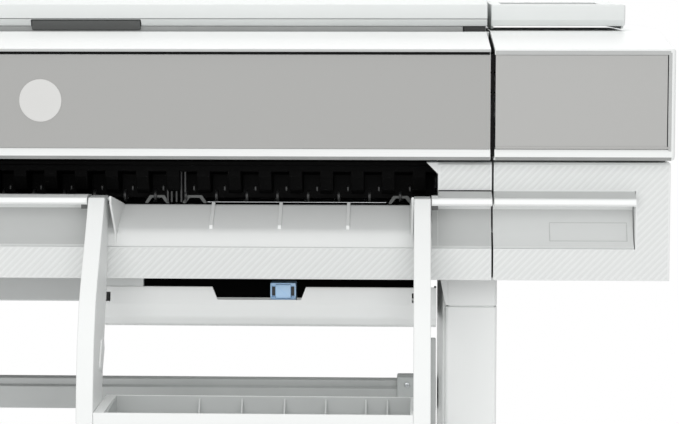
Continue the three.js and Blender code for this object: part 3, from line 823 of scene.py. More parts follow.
# -------------------- geometry nodes
class Repeats:
    """Geometry Nodes trees for the pieces that repeat."""

    def __init__(self, shop: Workshop) -> None:
        """Build both trees.

        Args:
            shop: The workshop that holds the materials.
        """
        self.shop = shop
        self.ridges_tree = self.make_ridges()
        self.copies_tree = self.make_copies()

    @staticmethod
    def tree(name: str, inputs: Sequence[tuple[str, str]]) -> tuple:
        """Return a new geometry tree with its input and output nodes.

        Args:
            name: The tree's name.
            inputs: (name, socket kind) for each input.

        Returns:
            The tree, its input node and its output node.
        """
        made = bpy.data.node_groups.new(name, "GeometryNodeTree")
        made.interface.new_socket("Geometry", in_out="INPUT", socket_type="NodeSocketGeometry")
        for label, kind in inputs:
            made.interface.new_socket(label, in_out="INPUT", socket_type="NodeSocket" + kind)
        made.interface.new_socket("Geometry", in_out="OUTPUT", socket_type="NodeSocketGeometry")
        return made, made.nodes.new("NodeGroupInput"), made.nodes.new("NodeGroupOutput")

    @staticmethod
    def maths(made: bpy.types.NodeTree, operation: str, *values: float) -> bpy.types.Node:
        """Return a math node with its unlinked inputs set.

        Args:
            made: The tree.
            operation: What the node works out.
            values: Values of its first inputs.

        Returns:
            The node.
        """
        node = made.nodes.new("ShaderNodeMath")
        node.operation = operation
        for i, value in enumerate(values):
            node.inputs[i].default_value = value
        return node

    def make_ridges(self) -> bpy.types.NodeTree:
        """Return the tree for a band of slanting ridges on a front face.

        Returns:
            The tree.
        """
        floats = ("Start", "End", "Low", "High", "Face", "Pitch", "Width", "Height")
        made, given, result = self.tree(
            "ridge_band", [(n, "Float") for n in floats] + [("Material", "Material")]
        )
        tall = self.maths(made, "SUBTRACT")
        span = self.maths(made, "SUBTRACT")
        whole = self.maths(made, "ADD")
        share = self.maths(made, "DIVIDE")
        count = self.maths(made, "ADD", 0, 1)
        first = self.maths(made, "SUBTRACT")
        join_up(
            made,
            (given, "High", tall, 0), (given, "Low", tall, 1),
            (given, "End", span, 0), (given, "Start", span, 1),
            (span, 0, whole, 0), (tall, 0, whole, 1),
            (whole, 0, share, 0), (given, "Pitch", share, 1),
            (share, 0, count, 0),
            (given, "Start", first, 0), (tall, 0, first, 1),
        )
        start = made.nodes.new("ShaderNodeCombineXYZ")
        offset = made.nodes.new("ShaderNodeCombineXYZ")
        line = made.nodes.new("GeometryNodeMeshLine")
        join_up(
            made,
            (first, 0, start, "X"), (given, "Face", start, "Y"), (given, "Low", start, "Z"),
            (given, "Pitch", offset, "X"),
            (count, 0, line, "Count"), (start, 0, line, "Start Location"),
            (offset, 0, line, "Offset"),
        )
        top = made.nodes.new("ShaderNodeCombineXYZ")
        spine = made.nodes.new("GeometryNodeCurvePrimitiveLine")
        fine = made.nodes.new("GeometryNodeResampleCurve")
        fine.inputs["Count"].default_value = 3
        half = self.maths(made, "MULTIPLY", 0, 0.5)
        ring = made.nodes.new("GeometryNodeCurvePrimitiveCircle")
        ring.inputs["Resolution"].default_value = 8
        bar = made.nodes.new("GeometryNodeCurveToMesh")
        bar.inputs["Fill Caps"].default_value = True
        place = made.nodes.new("GeometryNodeInstanceOnPoints")
        real = made.nodes.new("GeometryNodeRealizeInstances")
        join_up(
            made,
            (tall, 0, top, "Z"), (top, 0, spine, "End"), (spine, "Curve", fine, "Curve"),
            (given, "Width", half, 0), (half, 0, ring, "Radius"),
            (fine, "Curve", bar, "Curve"), (ring, "Curve", bar, "Profile Curve"),
            (line, "Mesh", place, "Points"), (bar, "Mesh", place, "Instance"),
            (place, "Instances", real, "Geometry"),
        )
        where = made.nodes.new("GeometryNodeInputPosition")
        split = made.nodes.new("ShaderNodeSeparateXYZ")
        rise = self.maths(made, "SUBTRACT")
        lean = self.maths(made, "ADD")
        off = self.maths(made, "SUBTRACT")
        thin = self.maths(made, "DIVIDE")
        flat = self.maths(made, "MULTIPLY")
        back = self.maths(made, "ADD")
        moved = made.nodes.new("ShaderNodeCombineXYZ")
        shift = made.nodes.new("GeometryNodeSetPosition")
        coat = made.nodes.new("GeometryNodeSetMaterial")
        join_up(
            made,
            (where, 0, split, 0),
            (split, "Z", rise, 0), (given, "Low", rise, 1),
            (split, "X", lean, 0), (rise, 0, lean, 1),
            (split, "Y", off, 0), (given, "Face", off, 1),
            (given, "Height", thin, 0), (half, 0, thin, 1),
            (off, 0, flat, 0), (thin, 0, flat, 1),
            (flat, 0, back, 0), (given, "Face", back, 1),
            (lean, 0, moved, "X"), (back, 0, moved, "Y"), (split, "Z", moved, "Z"),
            (real, "Geometry", shift, "Geometry"), (moved, 0, shift, "Position"),
            (shift, "Geometry", coat, "Geometry"), (given, "Material", coat, "Material"),
            (coat, "Geometry", result, "Geometry"),
        )
        return made

    def make_copies(self) -> bpy.types.NodeTree:
        """Return the tree that sets a copy of an item on every point, each turned a little.

        Returns:
            The tree.
        """
        made, given, result = self.tree(
            "copies_on_points",
            [("Item", "Object"), ("Turn", "Float"), ("Seed", "Int"), ("Material", "Material")],
        )
        item = made.nodes.new("GeometryNodeObjectInfo")
        less = self.maths(made, "MULTIPLY", 0, -1)
        chance = made.nodes.new("FunctionNodeRandomValue")
        spin = made.nodes.new("ShaderNodeCombineXYZ")
        place = made.nodes.new("GeometryNodeInstanceOnPoints")
        real = made.nodes.new("GeometryNodeRealizeInstances")
        coat = made.nodes.new("GeometryNodeSetMaterial")
        amount = [s for s in chance.outputs if s.enabled][0]
        join_up(made, (given, "Item", item, "Object"), (given, "Turn", less, 0))
        for label, source, out in (("Min", less, 0), ("Max", given, "Turn")):
            socket = [s for s in chance.inputs if s.enabled and s.name == label][0]
            made.links.new(source.outputs[out], socket)
        made.links.new(given.outputs["Seed"], chance.inputs["Seed"])
        made.links.new(amount, spin.inputs["Y"])
        join_up(
            made,
            (given, "Geometry", place, "Points"), (item, "Geometry", place, "Instance"),
            (spin, 0, place, "Rotation"), (place, "Instances", real, "Geometry"),
            (real, "Geometry", coat, "Geometry"), (given, "Material", coat, "Material"),
            (coat, "Geometry", result, "Geometry"),
        )
        return made

    @staticmethod
    def run(thing: bpy.types.Object, tree: bpy.types.NodeTree, values: dict) -> bpy.types.Object:
        """Run a tree on an object with named values and keep its plain mesh.

        Args:
            thing: The object.
            tree: The tree.
            values: A value for each named input.

        Returns:
            The same object.
        """
        work = thing.modifiers.new("repeat", "NODES")
        work.node_group = tree
        for socket in tree.interface.items_tree:
            if socket.in_out == "INPUT" and socket.name in values:
                work[socket.identifier] = values[socket.name]
        return settled(thing)

    def ridges(
        self, name: str, x: Point, z: Point, face: float, look: Look,
        pitch: float = 8.1, width: float = 5.6, height: float = 0.5,
    ) -> bpy.types.Object:
        """Return slanting ridges on a front face, in step with every other band.

        Args:
            name: The new object's name.
            x: The band's span in X.
            z: The band's span in Z.
            face: The face's place in Y.
            look: The ridges' finish.
            pitch: Distance between ridges in X.
            width: Width of a ridge.
            height: How far a ridge stands out.

        Returns:
            The object.
        """
        thing = Shape().mesh_object(name)
        low, high = 690.0, 830.0
        start = pitch * math.floor((x[0] - high + low) / pitch)
        values = dict(
            Start=start * MM, End=(x[1] + pitch) * MM, Low=low * MM, High=high * MM,
            Face=face * MM, Pitch=pitch * MM, Width=width * MM, Height=height * MM,
            Material=self.shop.materials[look],
        )
        return clipped(self.run(thing, self.ridges_tree, values), x, z)

    def copies(
        self, name: str, item: Shape, points: Sequence[Sequence[float]], look: Look,
        body: str, slot: str, turn: float = 0.0, seed: int = 3,
    ) -> None:
        """Place one mesh that has a copy of an item on every point.

        Args:
            name: The new object's name.
            item: The item, around the origin.
            points: Where the copies go, in millimetres.
            look: Their finish.
            body: The CAD body that carries them.
            slot: The record's material slot.
            turn: The most that a copy is turned about Y, in radians.
            seed: The seed of those turns.
        """
        model = item.mesh_object(name + "_item")
        mesh = bpy.data.meshes.new(name)
        mesh.from_pydata([tuple(c * MM for c in p) for p in points], [], [])
        thing = bpy.data.objects.new(name, mesh)
        bpy.context.scene.collection.objects.link(thing)
        values = dict(Item=model, Turn=turn, Seed=seed, Material=self.shop.materials[look])
        self.run(thing, self.copies_tree, values)
        bpy.data.objects.remove(model)
        self.shop.place(thing, look, body, slot)


def clipped(thing: bpy.types.Object, x: Point, z: Point) -> bpy.types.Object:
    """Trim an object to a span in X and in Z, given in millimetres, and close the cuts.

    Args:
        thing: The object.
        x: The span kept in X.
        z: The span kept in Z.

    Returns:
        The same object.
    """
    bm = bmesh.new()
    bm.from_mesh(thing.data)
    for axis, place, way in ((0, x[0], -1), (0, x[1], 1), (2, z[0], -1), (2, z[1], 1)):
        point, normal = Vector(), Vector()
        point[axis], normal[axis] = place * MM, way
        made = bmesh.ops.bisect_plane(
            bm, geom=[*bm.verts, *bm.edges, *bm.faces], plane_co=point, plane_no=normal,
            clear_outer=True,
        )
        rim = [e for e in made["geom_cut"] if isinstance(e, bmesh.types.BMEdge)]
        bmesh.ops.edgenet_fill(bm, edges=rim)
    bm.to_mesh(thing.data)
    bm.free()
    return thing


def screw_head(radius: float, way: int, axis: Axis = Axis.Y) -> Shape:
    """Return a domed screw head with a hexagon recess, facing along one way of an axis.

    Args:
        radius: The head's radius.
        way: 1 or -1, the way it faces.
        axis: The axis that it faces along.

    Returns:
        The shape.
    """
    profile = [
        (0.0, radius), (way * 0.9, radius), (way * 1.7, radius * 0.86), (way * 2.0, radius * 0.55),
        (way * 0.8, radius * 0.5), (way * 0.75, radius * 0.02),
    ]
    return Shape().lathe(axis, profile, 0, 0, 12)


@dataclass
class SubAssembly:
    """A part of the machine, with the workshop and the repeats that it uses."""

    shop: Workshop
    repeats: Repeats

    def add(
        self, name: str, shape: Shape, look: Look, body: str, slot: str,
        replaces: Iterable[str] = (),
    ) -> None:
        """Turn a shape into a finished piece.

        Args:
            name: The piece's name.
            shape: The shape.
            look: Its finish.
            body: The CAD body that carries it.
            slot: The record's material slot.
            replaces: CAD nodes that it is shown instead of.
        """
        self.shop.place(shape.mesh_object(name), look, body, slot, replaces)


# -------------------- front of the body
@dataclass
class FrontPanel(SubAssembly):
    """The lower front: ridged bands, lip, scoop, and the ramp between the stacker's arms."""

    face: float = -130.0
    bottom: float = 694.0
    top: float = 826.0
    band_top: float = 730.5
    shelf: float = 794.0
    slot_left: float = -486.0
    slot_right: float = 438.3
    seam_in: float = 498.2
    seam_out: float = 500.2
    scoop_end: float = 656.7
    width: float = 696.0
    left_pocket: Point = (48.2, 73.4)
    right_pocket: Point = (409.4, 431.2)
    slats: int = 11

    def scoop(self, back: float = 0.0) -> list[Point]:
        """Return the hollow under the lip, from the lower band up to the lip."""
        points = curve((self.face, self.band_top), (-113.5, 741), (-108.5, 777.5), 12)
        return [(y + back, z) for y, z in points]

    def rear(self, high: float) -> list[Corner]:
        """Return the back of the skin, from the top down."""
        return [(-104, high), *reversed(self.scoop(3.6)[2:]), (-126.5, 727), (-126.5, self.bottom)]

    def lipped(self) -> list[Corner]:
        """Return the outline with the lip and no wall above it.

        Returns:
            The outline.
        """
        return [
            (self.face, self.bottom, 0.8), *self.crease(), *self.scoop()[:-1], (-109.5, 778, 1.5),
            (-148, 779.2, 1.2), (-150, 781, 1.2), (-149.6, 787.2, 1.4), (-143, 790, 2.5),
            (-118, 788, 2), (-99.5, 775, 1), (-99.5, 771, 1), *self.rear(771),
        ]

    def crease(self) -> list[Corner]:
        """Return the fine groove between the ridged band and the scoop.

        Returns:
            The groove's corners.
        """
        z = self.band_top
        return [(self.face, z - 0.9, 0.3), (self.face + 1.6, z - 0.7), (self.face + 1.6, z),
                (self.face + 0.2, z + 0.2, 0.2)]

    def walled(self, gap: float = 0.0) -> list[Corner]:
        """Return the outline with the lip and the wall above it, with a gap between them.

        Args:
            gap: The gap's height, or zero.

        Returns:
            The outline.
        """
        notch: list[Corner] = [(-131.2, self.shelf - 0.2, 0.3)]
        if gap:
            notch = [(-131.4, 793.2 - gap / 2, 0.3), (-122, 793.4 - gap / 2), (-122, 793.6)]
        return [
            (self.face, self.bottom, 0.8), *self.crease(), *self.scoop()[:-1], (-109.5, 778, 1.5),
            (-148, 779.2, 1.2), (-150, 781, 1.2), (-149.4, 787.6, 1.2), *notch,
            (self.face, self.shelf + 0.6, 0.6), (self.face, self.top - 2.4, 0.8),
            (-127.6, self.top, 0.4), (-112, self.top, 0.4), (-112, self.top - 2.6, 0.4),
            (-126.5, self.top - 2.6, 0.4), (-126.5, 797), (-104, 790, 2), *self.rear(786),
        ]

    def ramp(self) -> list[Corner]:
        """Return the outline of the sheet ramp between the arms.

        Returns:
            The outline.
        """
        return [
            (self.face, self.bottom, 0.8), *self.crease(), (-129.4, 732.4, 0.4), (-127.6, 744, 4),
            (-122.4, 750.4, 5), (-91, 772.2, 2), (-87, 773.8, 1), (-86, 771, 1), (-94, 766, 2),
            (-121, 746, 4), (-124, 730), (-126.5, 726), (-126.5, self.bottom),
        ]

    def build(self) -> None:
        """Build the centre panel and both end panels."""
        self.centre()
        self.ends()
        self.bands()
        self.linings()

    def linings(self) -> None:
        """Line the scoops with painted shade, give the lips' fronts a painted highlight and their
        slopes painted shade, and lay painted shade in the gaps above the lips.
        """
        curve_line = self.scoop()[1:-1]
        lining = [(y - 0.35, z) for y, z in curve_line]
        lining += [(y + 0.6, z) for y, z in curve_line[::-1]]
        front = [(-150.3, 781.6, 0.8), (-149.9, 786.8, 0.8), (-148.6, 786.8), (-148.6, 781.6)]
        slope = [(-149.0, 788.1), (-131.6, 794.1), (-131.2, 793.4), (-148.8, 787.3)]
        outer = (self.seam_out + 0.4, self.scoop_end - 0.4)
        inner = (self.slot_right + 0.5, self.seam_in - 0.4)
        near = (self.right_pocket[1] + 0.6, self.slot_right)
        covers = [outer, span_at(-1, *outer)]
        groups = {
            # Painted shade: darker linings over the hollows under the lips, deepest beside the
            # arms.
            "scoop_lining": (lining, Look.UNDER_LIP_SHADE, covers),
            "inner_scoop_lining": (
                lining, Look.DEEP_UNDER_LIP_SHADE,
                [inner, near, (-inner[1], self.left_pocket[0] - 0.8)],
            ),
            # Painted highlight: a brighter strip over the lip's front.
            "lip_front": (
                front, Look.LIP_HIGHLIGHT,
                [*covers, (near[0], inner[1]), (-inner[1], self.left_pocket[0] - 0.8)],
            ),
            # Painted shade: a darker strip over the lip's slope under the overhang.
            "lip_slope": (
                slope, Look.OVERHANG_SHADE,
                [*covers, inner, (-inner[1], self.slot_left - 0.5)],
            ),
        }
        groups["ramp_lining"] = (
            [(-129.8, 733.0), (-128.1, 744.2), (-122.7, 751.0), (-91.2, 772.9), (-90.6, 772.1),
             (-122.0, 749.8), (-127.0, 743.8), (-128.8, 733.0)],
            Look.RAMP, [(82.4, 406.4)],
        )
        for name, (outline, look, spans) in groups.items():
            strips = Shape()
            for low, high in spans:
                strips.prism(outline, low, high, ends=(0.1, 0.1))
            self.add(name, strips, look, "base", "white_casing")
        # Painted shade: near-black lines laid in the gaps above the lips.
        lines = Shape()
        for low, high in (inner, (-inner[1], self.slot_left - 0.5)):
            lines.block((low, high), (-131.9, -128), (793.7, 795.1), 0.2)
        self.add("lip_gap_lines", lines, Look.SHADE_SHEET, "base", "black_plastic")

    def centre(self) -> None:
        """Build the panel between the two end covers."""
        panel = Shape()
        panel.prism(self.walled(1.4), self.slot_right, self.seam_in, ends=(0, 0.5))
        panel.prism(self.walled(1.4), -self.seam_in, self.slot_left, ends=(0.5, 0))
        panel.prism(self.lipped(), self.slot_left, self.left_pocket[0], ends=(0, 0))
        panel.prism(self.lipped(), self.right_pocket[1], self.slot_right, ends=(0, 0))
        panel.prism(self.ramp(), self.left_pocket[0], self.right_pocket[1], ends=(0, 0))
        for front, back in ((75.4, 81.2), (409.2, 407.2)):
            self.cheek(panel, front, back)
        chamfer = [(self.slot_right - 13, self.top), (self.slot_right + 1, self.top),
                   (self.slot_right + 1, self.top - 14)]
        panel.prism(chamfer, -129, -112, Axis.Y, 0.3)
        cover = panel.mesh_object("front_panel_skin")
        self.shop.place(cover, Look.FACING, "base", "white_casing", ["front_panel"])

        rib = Shape().prism(
            [(-124, 748, 1), (-123.2, 754, 1), (-92, 776.8, 1), (-88, 774.6, 0.5), (-96, 766)],
            -1.9, 1.9,
        )
        self.repeats.copies(
            "ramp_ribs", rib, [(x, 0, 0) for x in (183.7, 260.7, 337.6)],
            Look.WHITE, "base", "white_casing",
        )

        clips = Shape()
        for x in (self.left_pocket[0] - 3.6, self.right_pocket[1] + 3.6):
            clips.block((x - 3.5, x + 3.5), (-147, -118), (774.4, 779.2), 0.5)
        self.add("arm_hinge_clips", clips, Look.DARK, "base", "dark_plastic")

    @staticmethod
    def cheek(panel: Shape, front: float, back: float, thick: float = 2.2) -> None:
        """Add the slanting wall that closes one side of the ramp's recess.

        Args:
            panel: The shape to add to.
            front: The wall's place in X at the lip.
            back: Its place in X at the platen.
            thick: Its thickness, away from the recess.
        """
        way = -thick if back > front else thick
        drop = 0.78
        face = [
            (front, -149.4, 788.8), (back, -87.5, 774.2), (back, -87.5, 771),
            (front + (back - front) * drop, -123, 748), (front + (back - front) * 0.4, -129.6, 731),
            (front + (back - front) * 0.4, -129.8, 746), (front, -149.6, 781),
        ]
        near = [Vector(p) for p in face]
        panel.skin([near, [p + Vector((way, 0, 0)) for p in near]])

    def ends(self) -> None:
        """Build the lower covers at both ends."""
        rear, inner = 285.0, self.width - 3.0
        for side, name in ((-1, "left"), (1, "right")):
            skin = Shape()
            scooped = span_at(side, self.seam_out, self.scoop_end)
            skin.prism(self.walled(), *scooped, ends=radii_at(side, 0.5, 0.2))
            plain = [
                (self.face, self.bottom, 0.8), (self.face, self.top - 2.4, 0.8),
                (-127.6, self.top, 0.4), (-104, self.top, 0.5), (-104, self.bottom, 0.5),
            ]
            flat = span_at(side, self.scoop_end + 0.9, self.width)
            skin.prism(plain, *flat, ends=radii_at(side, 0.5, 0.9))
            upper = [(self.face, self.shelf + 0.6), (self.face, self.top - 2.4, 0.8),
                     (-127.6, self.top, 0.4), (-104, self.top), (-104, self.shelf + 0.6)]
            skin.prism(upper, *span_at(side, self.scoop_end - 1, self.scoop_end + 2), ends=(0, 0))
            lower = [(self.face, self.bottom, 0.8), (self.face, self.band_top - 1.1),
                     (-104, self.band_top - 1.1), (-104, self.bottom)]
            skin.prism(lower, *span_at(side, self.scoop_end - 1, self.scoop_end + 2), ends=(0, 0))
            side_wall = [(-124, self.bottom, 1.2), (-124, self.top, 1), (rear, self.top, 1.6),
                         (rear, self.bottom, 1.6)]
            skin.prism(side_wall, *span_at(side, inner, self.width), ends=radii_at(side, 0.3, 1.2))
            back = [(rear - 3, self.bottom, 0.6), (rear - 3, self.top, 0.6),
                    (rear, self.top, 1), (rear, self.bottom, 1)]
            behind = span_at(side, self.seam_out, self.width - 0.6)
            skin.prism(back, *behind, ends=radii_at(side, 0.8, 2.4))
            tools = Shape()
            for k in range(self.slats):
                y = 20 + 15 * k
                tools.block(span_at(side, inner - 6, self.width + 6), (y, y + 6.5), (724, 796), 2.4)
            if side < 0:
                tools.block((-651, -589), (rear - 10, rear + 5), (740, 788), 2)
            cover = cut_away(skin, tools, f"{name}_lower_skin")
            self.shop.place(cover, Look.FACING, "base", "white_casing", [f"{name}_lower_cover"])
            grille = Shape().block(
                span_at(side, inner - 3.4, inner - 1.2), (14, 184), (718, 802), 0.4
            ).mesh_object(f"{name}_vent_mesh")
            self.shop.place(grille, Look.BLACK, "base", "black_plastic")

        # Painted shade: thin grey lines on the hollow that draw the nameplate's edge.
        edge_shade_lines = Shape()
        x0, x1, z0, z1 = 563.0, 650.0, 737.6, 757.2
        for low, high in ((z0 - 0.5, z0 + 0.5), (z1 - 0.5, z1 + 0.5)):
            edge_shade_lines.block((x0, x1), self.scoop_depth(low, high), (low, high), 0.2)
        for x in (x0, x1 - 1.0):
            corners = [(self.depth_at(z) - d, z) for z, d in ((z0, 0.5), (747, 0.5), (z1, 0.5))]
            corners += [(self.depth_at(z) + 1, z) for z in (z1, 747, z0)]
            edge_shade_lines.prism(corners, x, x + 1.0, ends=(0.1, 0.1))
        plate = edge_shade_lines.mesh_object("nameplate_outline")
        self.shop.place(plate, Look.BEVEL, "base", "light_casing")

    def depth_at(self, z: float) -> float:
        """Return the scoop's depth at a height.

        Args:
            z: The height.

        Returns:
            The place in Y.
        """
        points = self.scoop()
        for (y0, z0), (y1, z1) in zip(points, points[1:]):
            if z0 <= z <= z1:
                return y0 + (y1 - y0) * (z - z0) / (z1 - z0)
        return points[-1][0]

    def scoop_depth(self, low: float, high: float) -> Point:
        """Return the depths that a thin line on the scoop lies between."""
        y = self.depth_at((low + high) / 2)
        return y - 0.55, y + 1.2

    def bands(self) -> None:
        """Lay the slanting ridges on every flat part of the front."""
        low, high = (self.bottom + 1.4, self.band_top - 2), (self.shelf + 2, self.top - 3.4)
        areas = {
            "ridges_low_centre": ((-self.seam_in + 1.5, self.seam_in - 1.5), low),
            "ridges_high_centre": ((self.slot_right + 3, self.seam_in - 1.5), high),
        }
        for side, name in ((-1, "left"), (1, "right")):
            spans = {
                "low": ((self.seam_out + 1.5, self.scoop_end + 3.1), low),
                "high": ((self.seam_out + 1.5, self.scoop_end + 3.1), high),
                "side": ((self.scoop_end + 3.1, self.width - 2.4), (low[0], high[1])),
            }
            for where, (x, z) in spans.items():
                areas[f"ridges_{where}_{name}"] = (span_at(side, *x), z)
        for name, (x, z) in areas.items():
            band = self.repeats.ridges(name, x, z, self.face + 0.15, Look.TEXTURED)
            self.shop.place(band, Look.TEXTURED, "base", "white_casing")


@dataclass
class UpperCovers(SubAssembly):
    """The main lid with its grey panel, and the covers at both ends."""

    front: float = -165.0
    chin: float = 831.3
    edge_top: float = 953.5
    panel: Point = (843.6, 946.4)
    seam_in: float = 495.0
    seam_out: float = 499.5
    width: float = 696.0

    def build(self) -> None:
        """Build the lid, the badge, the end covers and the ink door."""
        self.lid()
        self.end_covers()
        self.rim_painted_shade()
        self.ink_door()

    def lid(self) -> None:
        """Build the hinged main lid and what it carries."""
        front, low, high = self.front, *self.panel
        outline = [
            (front + 3.6, self.chin, 0.8), (front, self.chin + 3.6, 1), (front, low - 4.4, 0.8),
            (front + 2.4, low - 0.4, 0.3), (front + 3.8, low - 0.4), (front + 3.8, high + 0.4),
            (front + 9, high + 0.4), (front + 9, high + 3.4), (front + 2.2, high + 3.4, 0.3),
            (front, self.edge_top, 1.2), (-24.4, 969, 1.2), (-24.4, 966, 0.8),
            (front + 15, 952.6, 2), (front + 12, 950, 2), (front + 12, high - 4, 1),
            (front + 6.8, high - 7, 1), (front + 6.8, 838.5, 2), (-140, 838.5, 0.8),
            (-140, self.chin, 0.8),
        ]
        lid = Shape().prism(outline, -self.seam_in, self.seam_in, ends=(0.5, 0.5))
        gusset = [
            (front + 6, 837), (front + 6, 945), (front + 14, 951), (-26, 967), (-26, 952, 2),
            (-52, 947, 4), (-125, 935, 10), (-138, 920, 8), (-138, 837),
        ]
        for x in (-self.seam_in + 0.5, self.seam_in - 3.5):
            lid.prism(gusset, x, x + 3, ends=(0.3, 0.3))
        stiffener = [
            (front + 6.2, 838), (front + 6.2, 938), (front + 12, 945), (front + 20, 945, 6),
            (front + 10, 916, 20), (front + 10, 838),
        ]
        for k in range(-4, 5):
            lid.prism(stiffener, k * 110 - 1, k * 110 + 1, ends=(0.2, 0.2))
        self.add("main_lid", lid, Look.WHITE, "top_cover", "white_casing", ["main_cover"])

        inlay = Shape().block(
            (-self.seam_in + 0.3, self.seam_in - 0.3), (front + 2, front + 3.7), (low, high), 0.3
        )
        backing = Shape().block(
            (-self.seam_in + 1, self.seam_in - 1), (front + 3.4, front + 8.8),
            (high + 0.3, high + 3.2), 0.2,
        )
        self.add("panel_shadow_strip", backing, Look.SHADE_SHEET, "top_cover", "dark_plastic")
        # Painted shade: a grey strip over the lid's top bevel above the panel.
        edge = Shape().block(
            (-self.seam_in + 0.4, self.seam_in - 0.4), (front - 0.15, front + 1.2),
            (high + 3.5, self.edge_top - 0.9), 0.3,
        )
        self.add("lid_edge_trim", edge, Look.BEVEL, "top_cover", "white_casing")
        # Painted shade: a dark grey strip on the chamfer under the lid's front.
        chin = self.chamfer_shade_strip(-self.seam_in + 0.4, self.seam_in - 0.4)
        self.add("lid_chin_trim", chin, Look.CHAMFER_SHADE, "top_cover", "white_casing")
        self.add("front_inlay", inlay, Look.PANEL, "top_cover", "grey_panel", ["main_cover_panel"])
        face = front + 2
        disc = Shape().lathe(
            Axis.Y,
            [(face + 0.5, 22.6), (face - 0.2, 23.5), (face - 0.8, 23.3), (face - 1.0, 22.5),
             (face - 1.0, 0.2)],
            0, 896, 96,
        )
        self.add("blank_badge", disc, Look.BADGE, "top_cover", "grey_panel")

    def chamfer_shade_strip(self, low: float, high: float) -> Shape:
        """Return a strip of painted shade on the chamfer under a front edge, over a span in X.

        Args:
            low: Where it starts.
            high: Where it ends.

        Returns:
            The shape.
        """
        front, chin = self.front, self.chin
        outline = [
            (front + 3.7, chin - 0.12), (front - 0.12, chin + 3.7), (front + 0.4, chin + 4.1),
            (front + 4.1, chin + 0.4),
        ]
        return Shape().prism(outline, low, high, ends=(0.1, 0.1))

    def rim_painted_shade(self) -> None:
        """Lay strips of painted shade on the bevels round the end covers' panels and on the
        chamfers under them.
        """
        front, (low, high) = self.front, self.panel
        # Strips of painted shade over each end cover's bevels.
        rim = [(front - 0.05, high + 4.9), (front + 2.3, high + 0.25), (front + 2.6, high + 0.7),
               (front + 0.4, high + 5.2)]
        for side, name in ((-1, "left"), (1, "right")):
            near, far = side * (self.seam_out + 0.8), side * 688.2
            trim = Shape().prism(rim, min(near, far), max(near, far + side * 2), ends=(0.1, 0.1))
            edge = [(far + side * 0.1, front + 2.3), (far + side * 3.5, front - 0.05),
                    (far + side * 3.9, front + 0.4), (far + side * 0.5, front + 2.7)]
            trim.prism(edge, low - 2, high + 3, Axis.Z, ends=(0.1, 0.1))
            self.add(f"{name}_bevel_trim", trim, Look.BEVEL, "base", "white_casing")
            # Painted shade on the chamfer under each end cover.
            ends = sorted((near, side * (self.width - 3.8)))
            chin = self.chamfer_shade_strip(ends[0], ends[1])
            self.add(f"{name}_chin_trim", chin, Look.CHAMFER_SHADE, "base", "white_casing")

    def section(self, grow: float) -> list[Corner]:
        """Return the side view of an end cover, moved inwards by grow.

        Args:
            grow: How far inwards.

        Returns:
            The outline.
        """
        front, low = self.front + grow, self.chin + grow
        return [
            (front + 3.6, low, 0.8), (front, low + 3.6, 1.2), (front, self.edge_top - grow, 1.6),
            (-15, 970 - grow, 12), (150, 971 - grow, 20), (235, 966 - grow, 16),
            (262, 957 - grow, 12), (280 - grow, 938 - grow, 12), (285 - grow, 915, 12),
            (285 - grow, 829 + grow, 1.2), (-132, 829 + grow, 1), (-134, low, 1),
        ]

    def end_covers(self) -> None:
        """Build the hollow covers at both ends, with a bevelled frame round each front panel."""
        low, high = self.panel
        for side, name in ((-1, "left"), (1, "right")):
            span = span_at(side, self.seam_out, self.width)
            hollow = span_at(side, self.seam_out - 5, self.width - 3.2)
            shell = Shape().prism(
                self.section(0), *span, ends=radii_at(side, 0.5, 3.6), steps=6
            )
            inside = Shape().prism(self.section(3.2), *hollow, ends=(0, 0))
            cover = cut_away(shell, inside, f"{name}_upper_skin")
            opening = Shape()
            rings = []
            for depth, grow in ((-1.0, 6.8), (2.4, 0.4), (4.6 if side > 0 else 2.8, 0.4)):
                near, far = side * (self.seam_out - 9), side * (688.0 + grow * 0.75)
                y = self.front + depth
                rings.append([
                    Vector((near, y, low - grow)), Vector((far, y, low - grow)),
                    Vector((far, y, high + grow)), Vector((near, y, high + grow)),
                ])
            opening.skin(rings)
            frame_cut = opening.mesh_object("opening_tool")
            self.cut_more(cover, frame_cut)
            self.shop.place(
                cover, Look.WHITE, "base", "white_casing", [f"{name}_upper_cover"]
            )
        left = Shape().block(
            (-687.6, -500.2), (self.front + 2, self.front + 3.4), self.panel, 0.4
        )
        self.add("left_inlay", left, Look.PANEL, "base", "grey_panel")
        self.gap_strips()

    @staticmethod
    def cut_more(thing: bpy.types.Object, cutter: bpy.types.Object) -> None:
        """Subtract a second object from a finished one and remove it.

        Args:
            thing: The object that stays.
            cutter: The object that is taken away.
        """
        boolean = thing.modifiers.new("cut", "BOOLEAN")
        boolean.object, boolean.solver = cutter, "EXACT"
        settled(thing)
        bpy.data.objects.remove(cutter)

    def gap_strips(self) -> None:
        """Build the dark strips in the gap under the end covers, and the strips of painted shade
        behind the seams.
        """
        strips = Shape()
        for x in ((438.6, 498), (500.4, 692), (-692, -500.4)):
            strips.block(x, (-111.5, -109.5), (800, 830.5), 0.3)
        self.add("gap_strips", strips, Look.DARK, "base", "dark_plastic")
        # Painted shade: near-black strips behind the seams beside the lid.
        backs = Shape()
        for low, high in ((495.9, 498.9), (-498.9, -495.9)):
            backs.block((low, high), (self.front + 5, self.front + 8), (835, 947), 0.3)
        self.add("seam_backs", backs, Look.SHADE_SHEET, "base", "black_plastic")

    def ink_door(self) -> None:
        """Build the grey door over the ink bay."""
        front = self.front
        door = Shape().block((500.4, 687.2), (front + 2, front + 3.8), self.panel, 0.3)
        door.rod(Axis.X, 500.9, 690, -162.9, 845.4, 1.25, 16, 0.2)
        door.block((560, 628), (front + 3.4, front + 8), (937.5, 940.5), 0.6)
        for x in (520, 560, 628, 668):
            door.block((x, x + 1.6), (front + 3.2, front + 6), (850, 936), 0.4)
        self.add("ink_access_flap", door, Look.DOOR, "ink_access_door", "grey_panel", ["ink_door"])


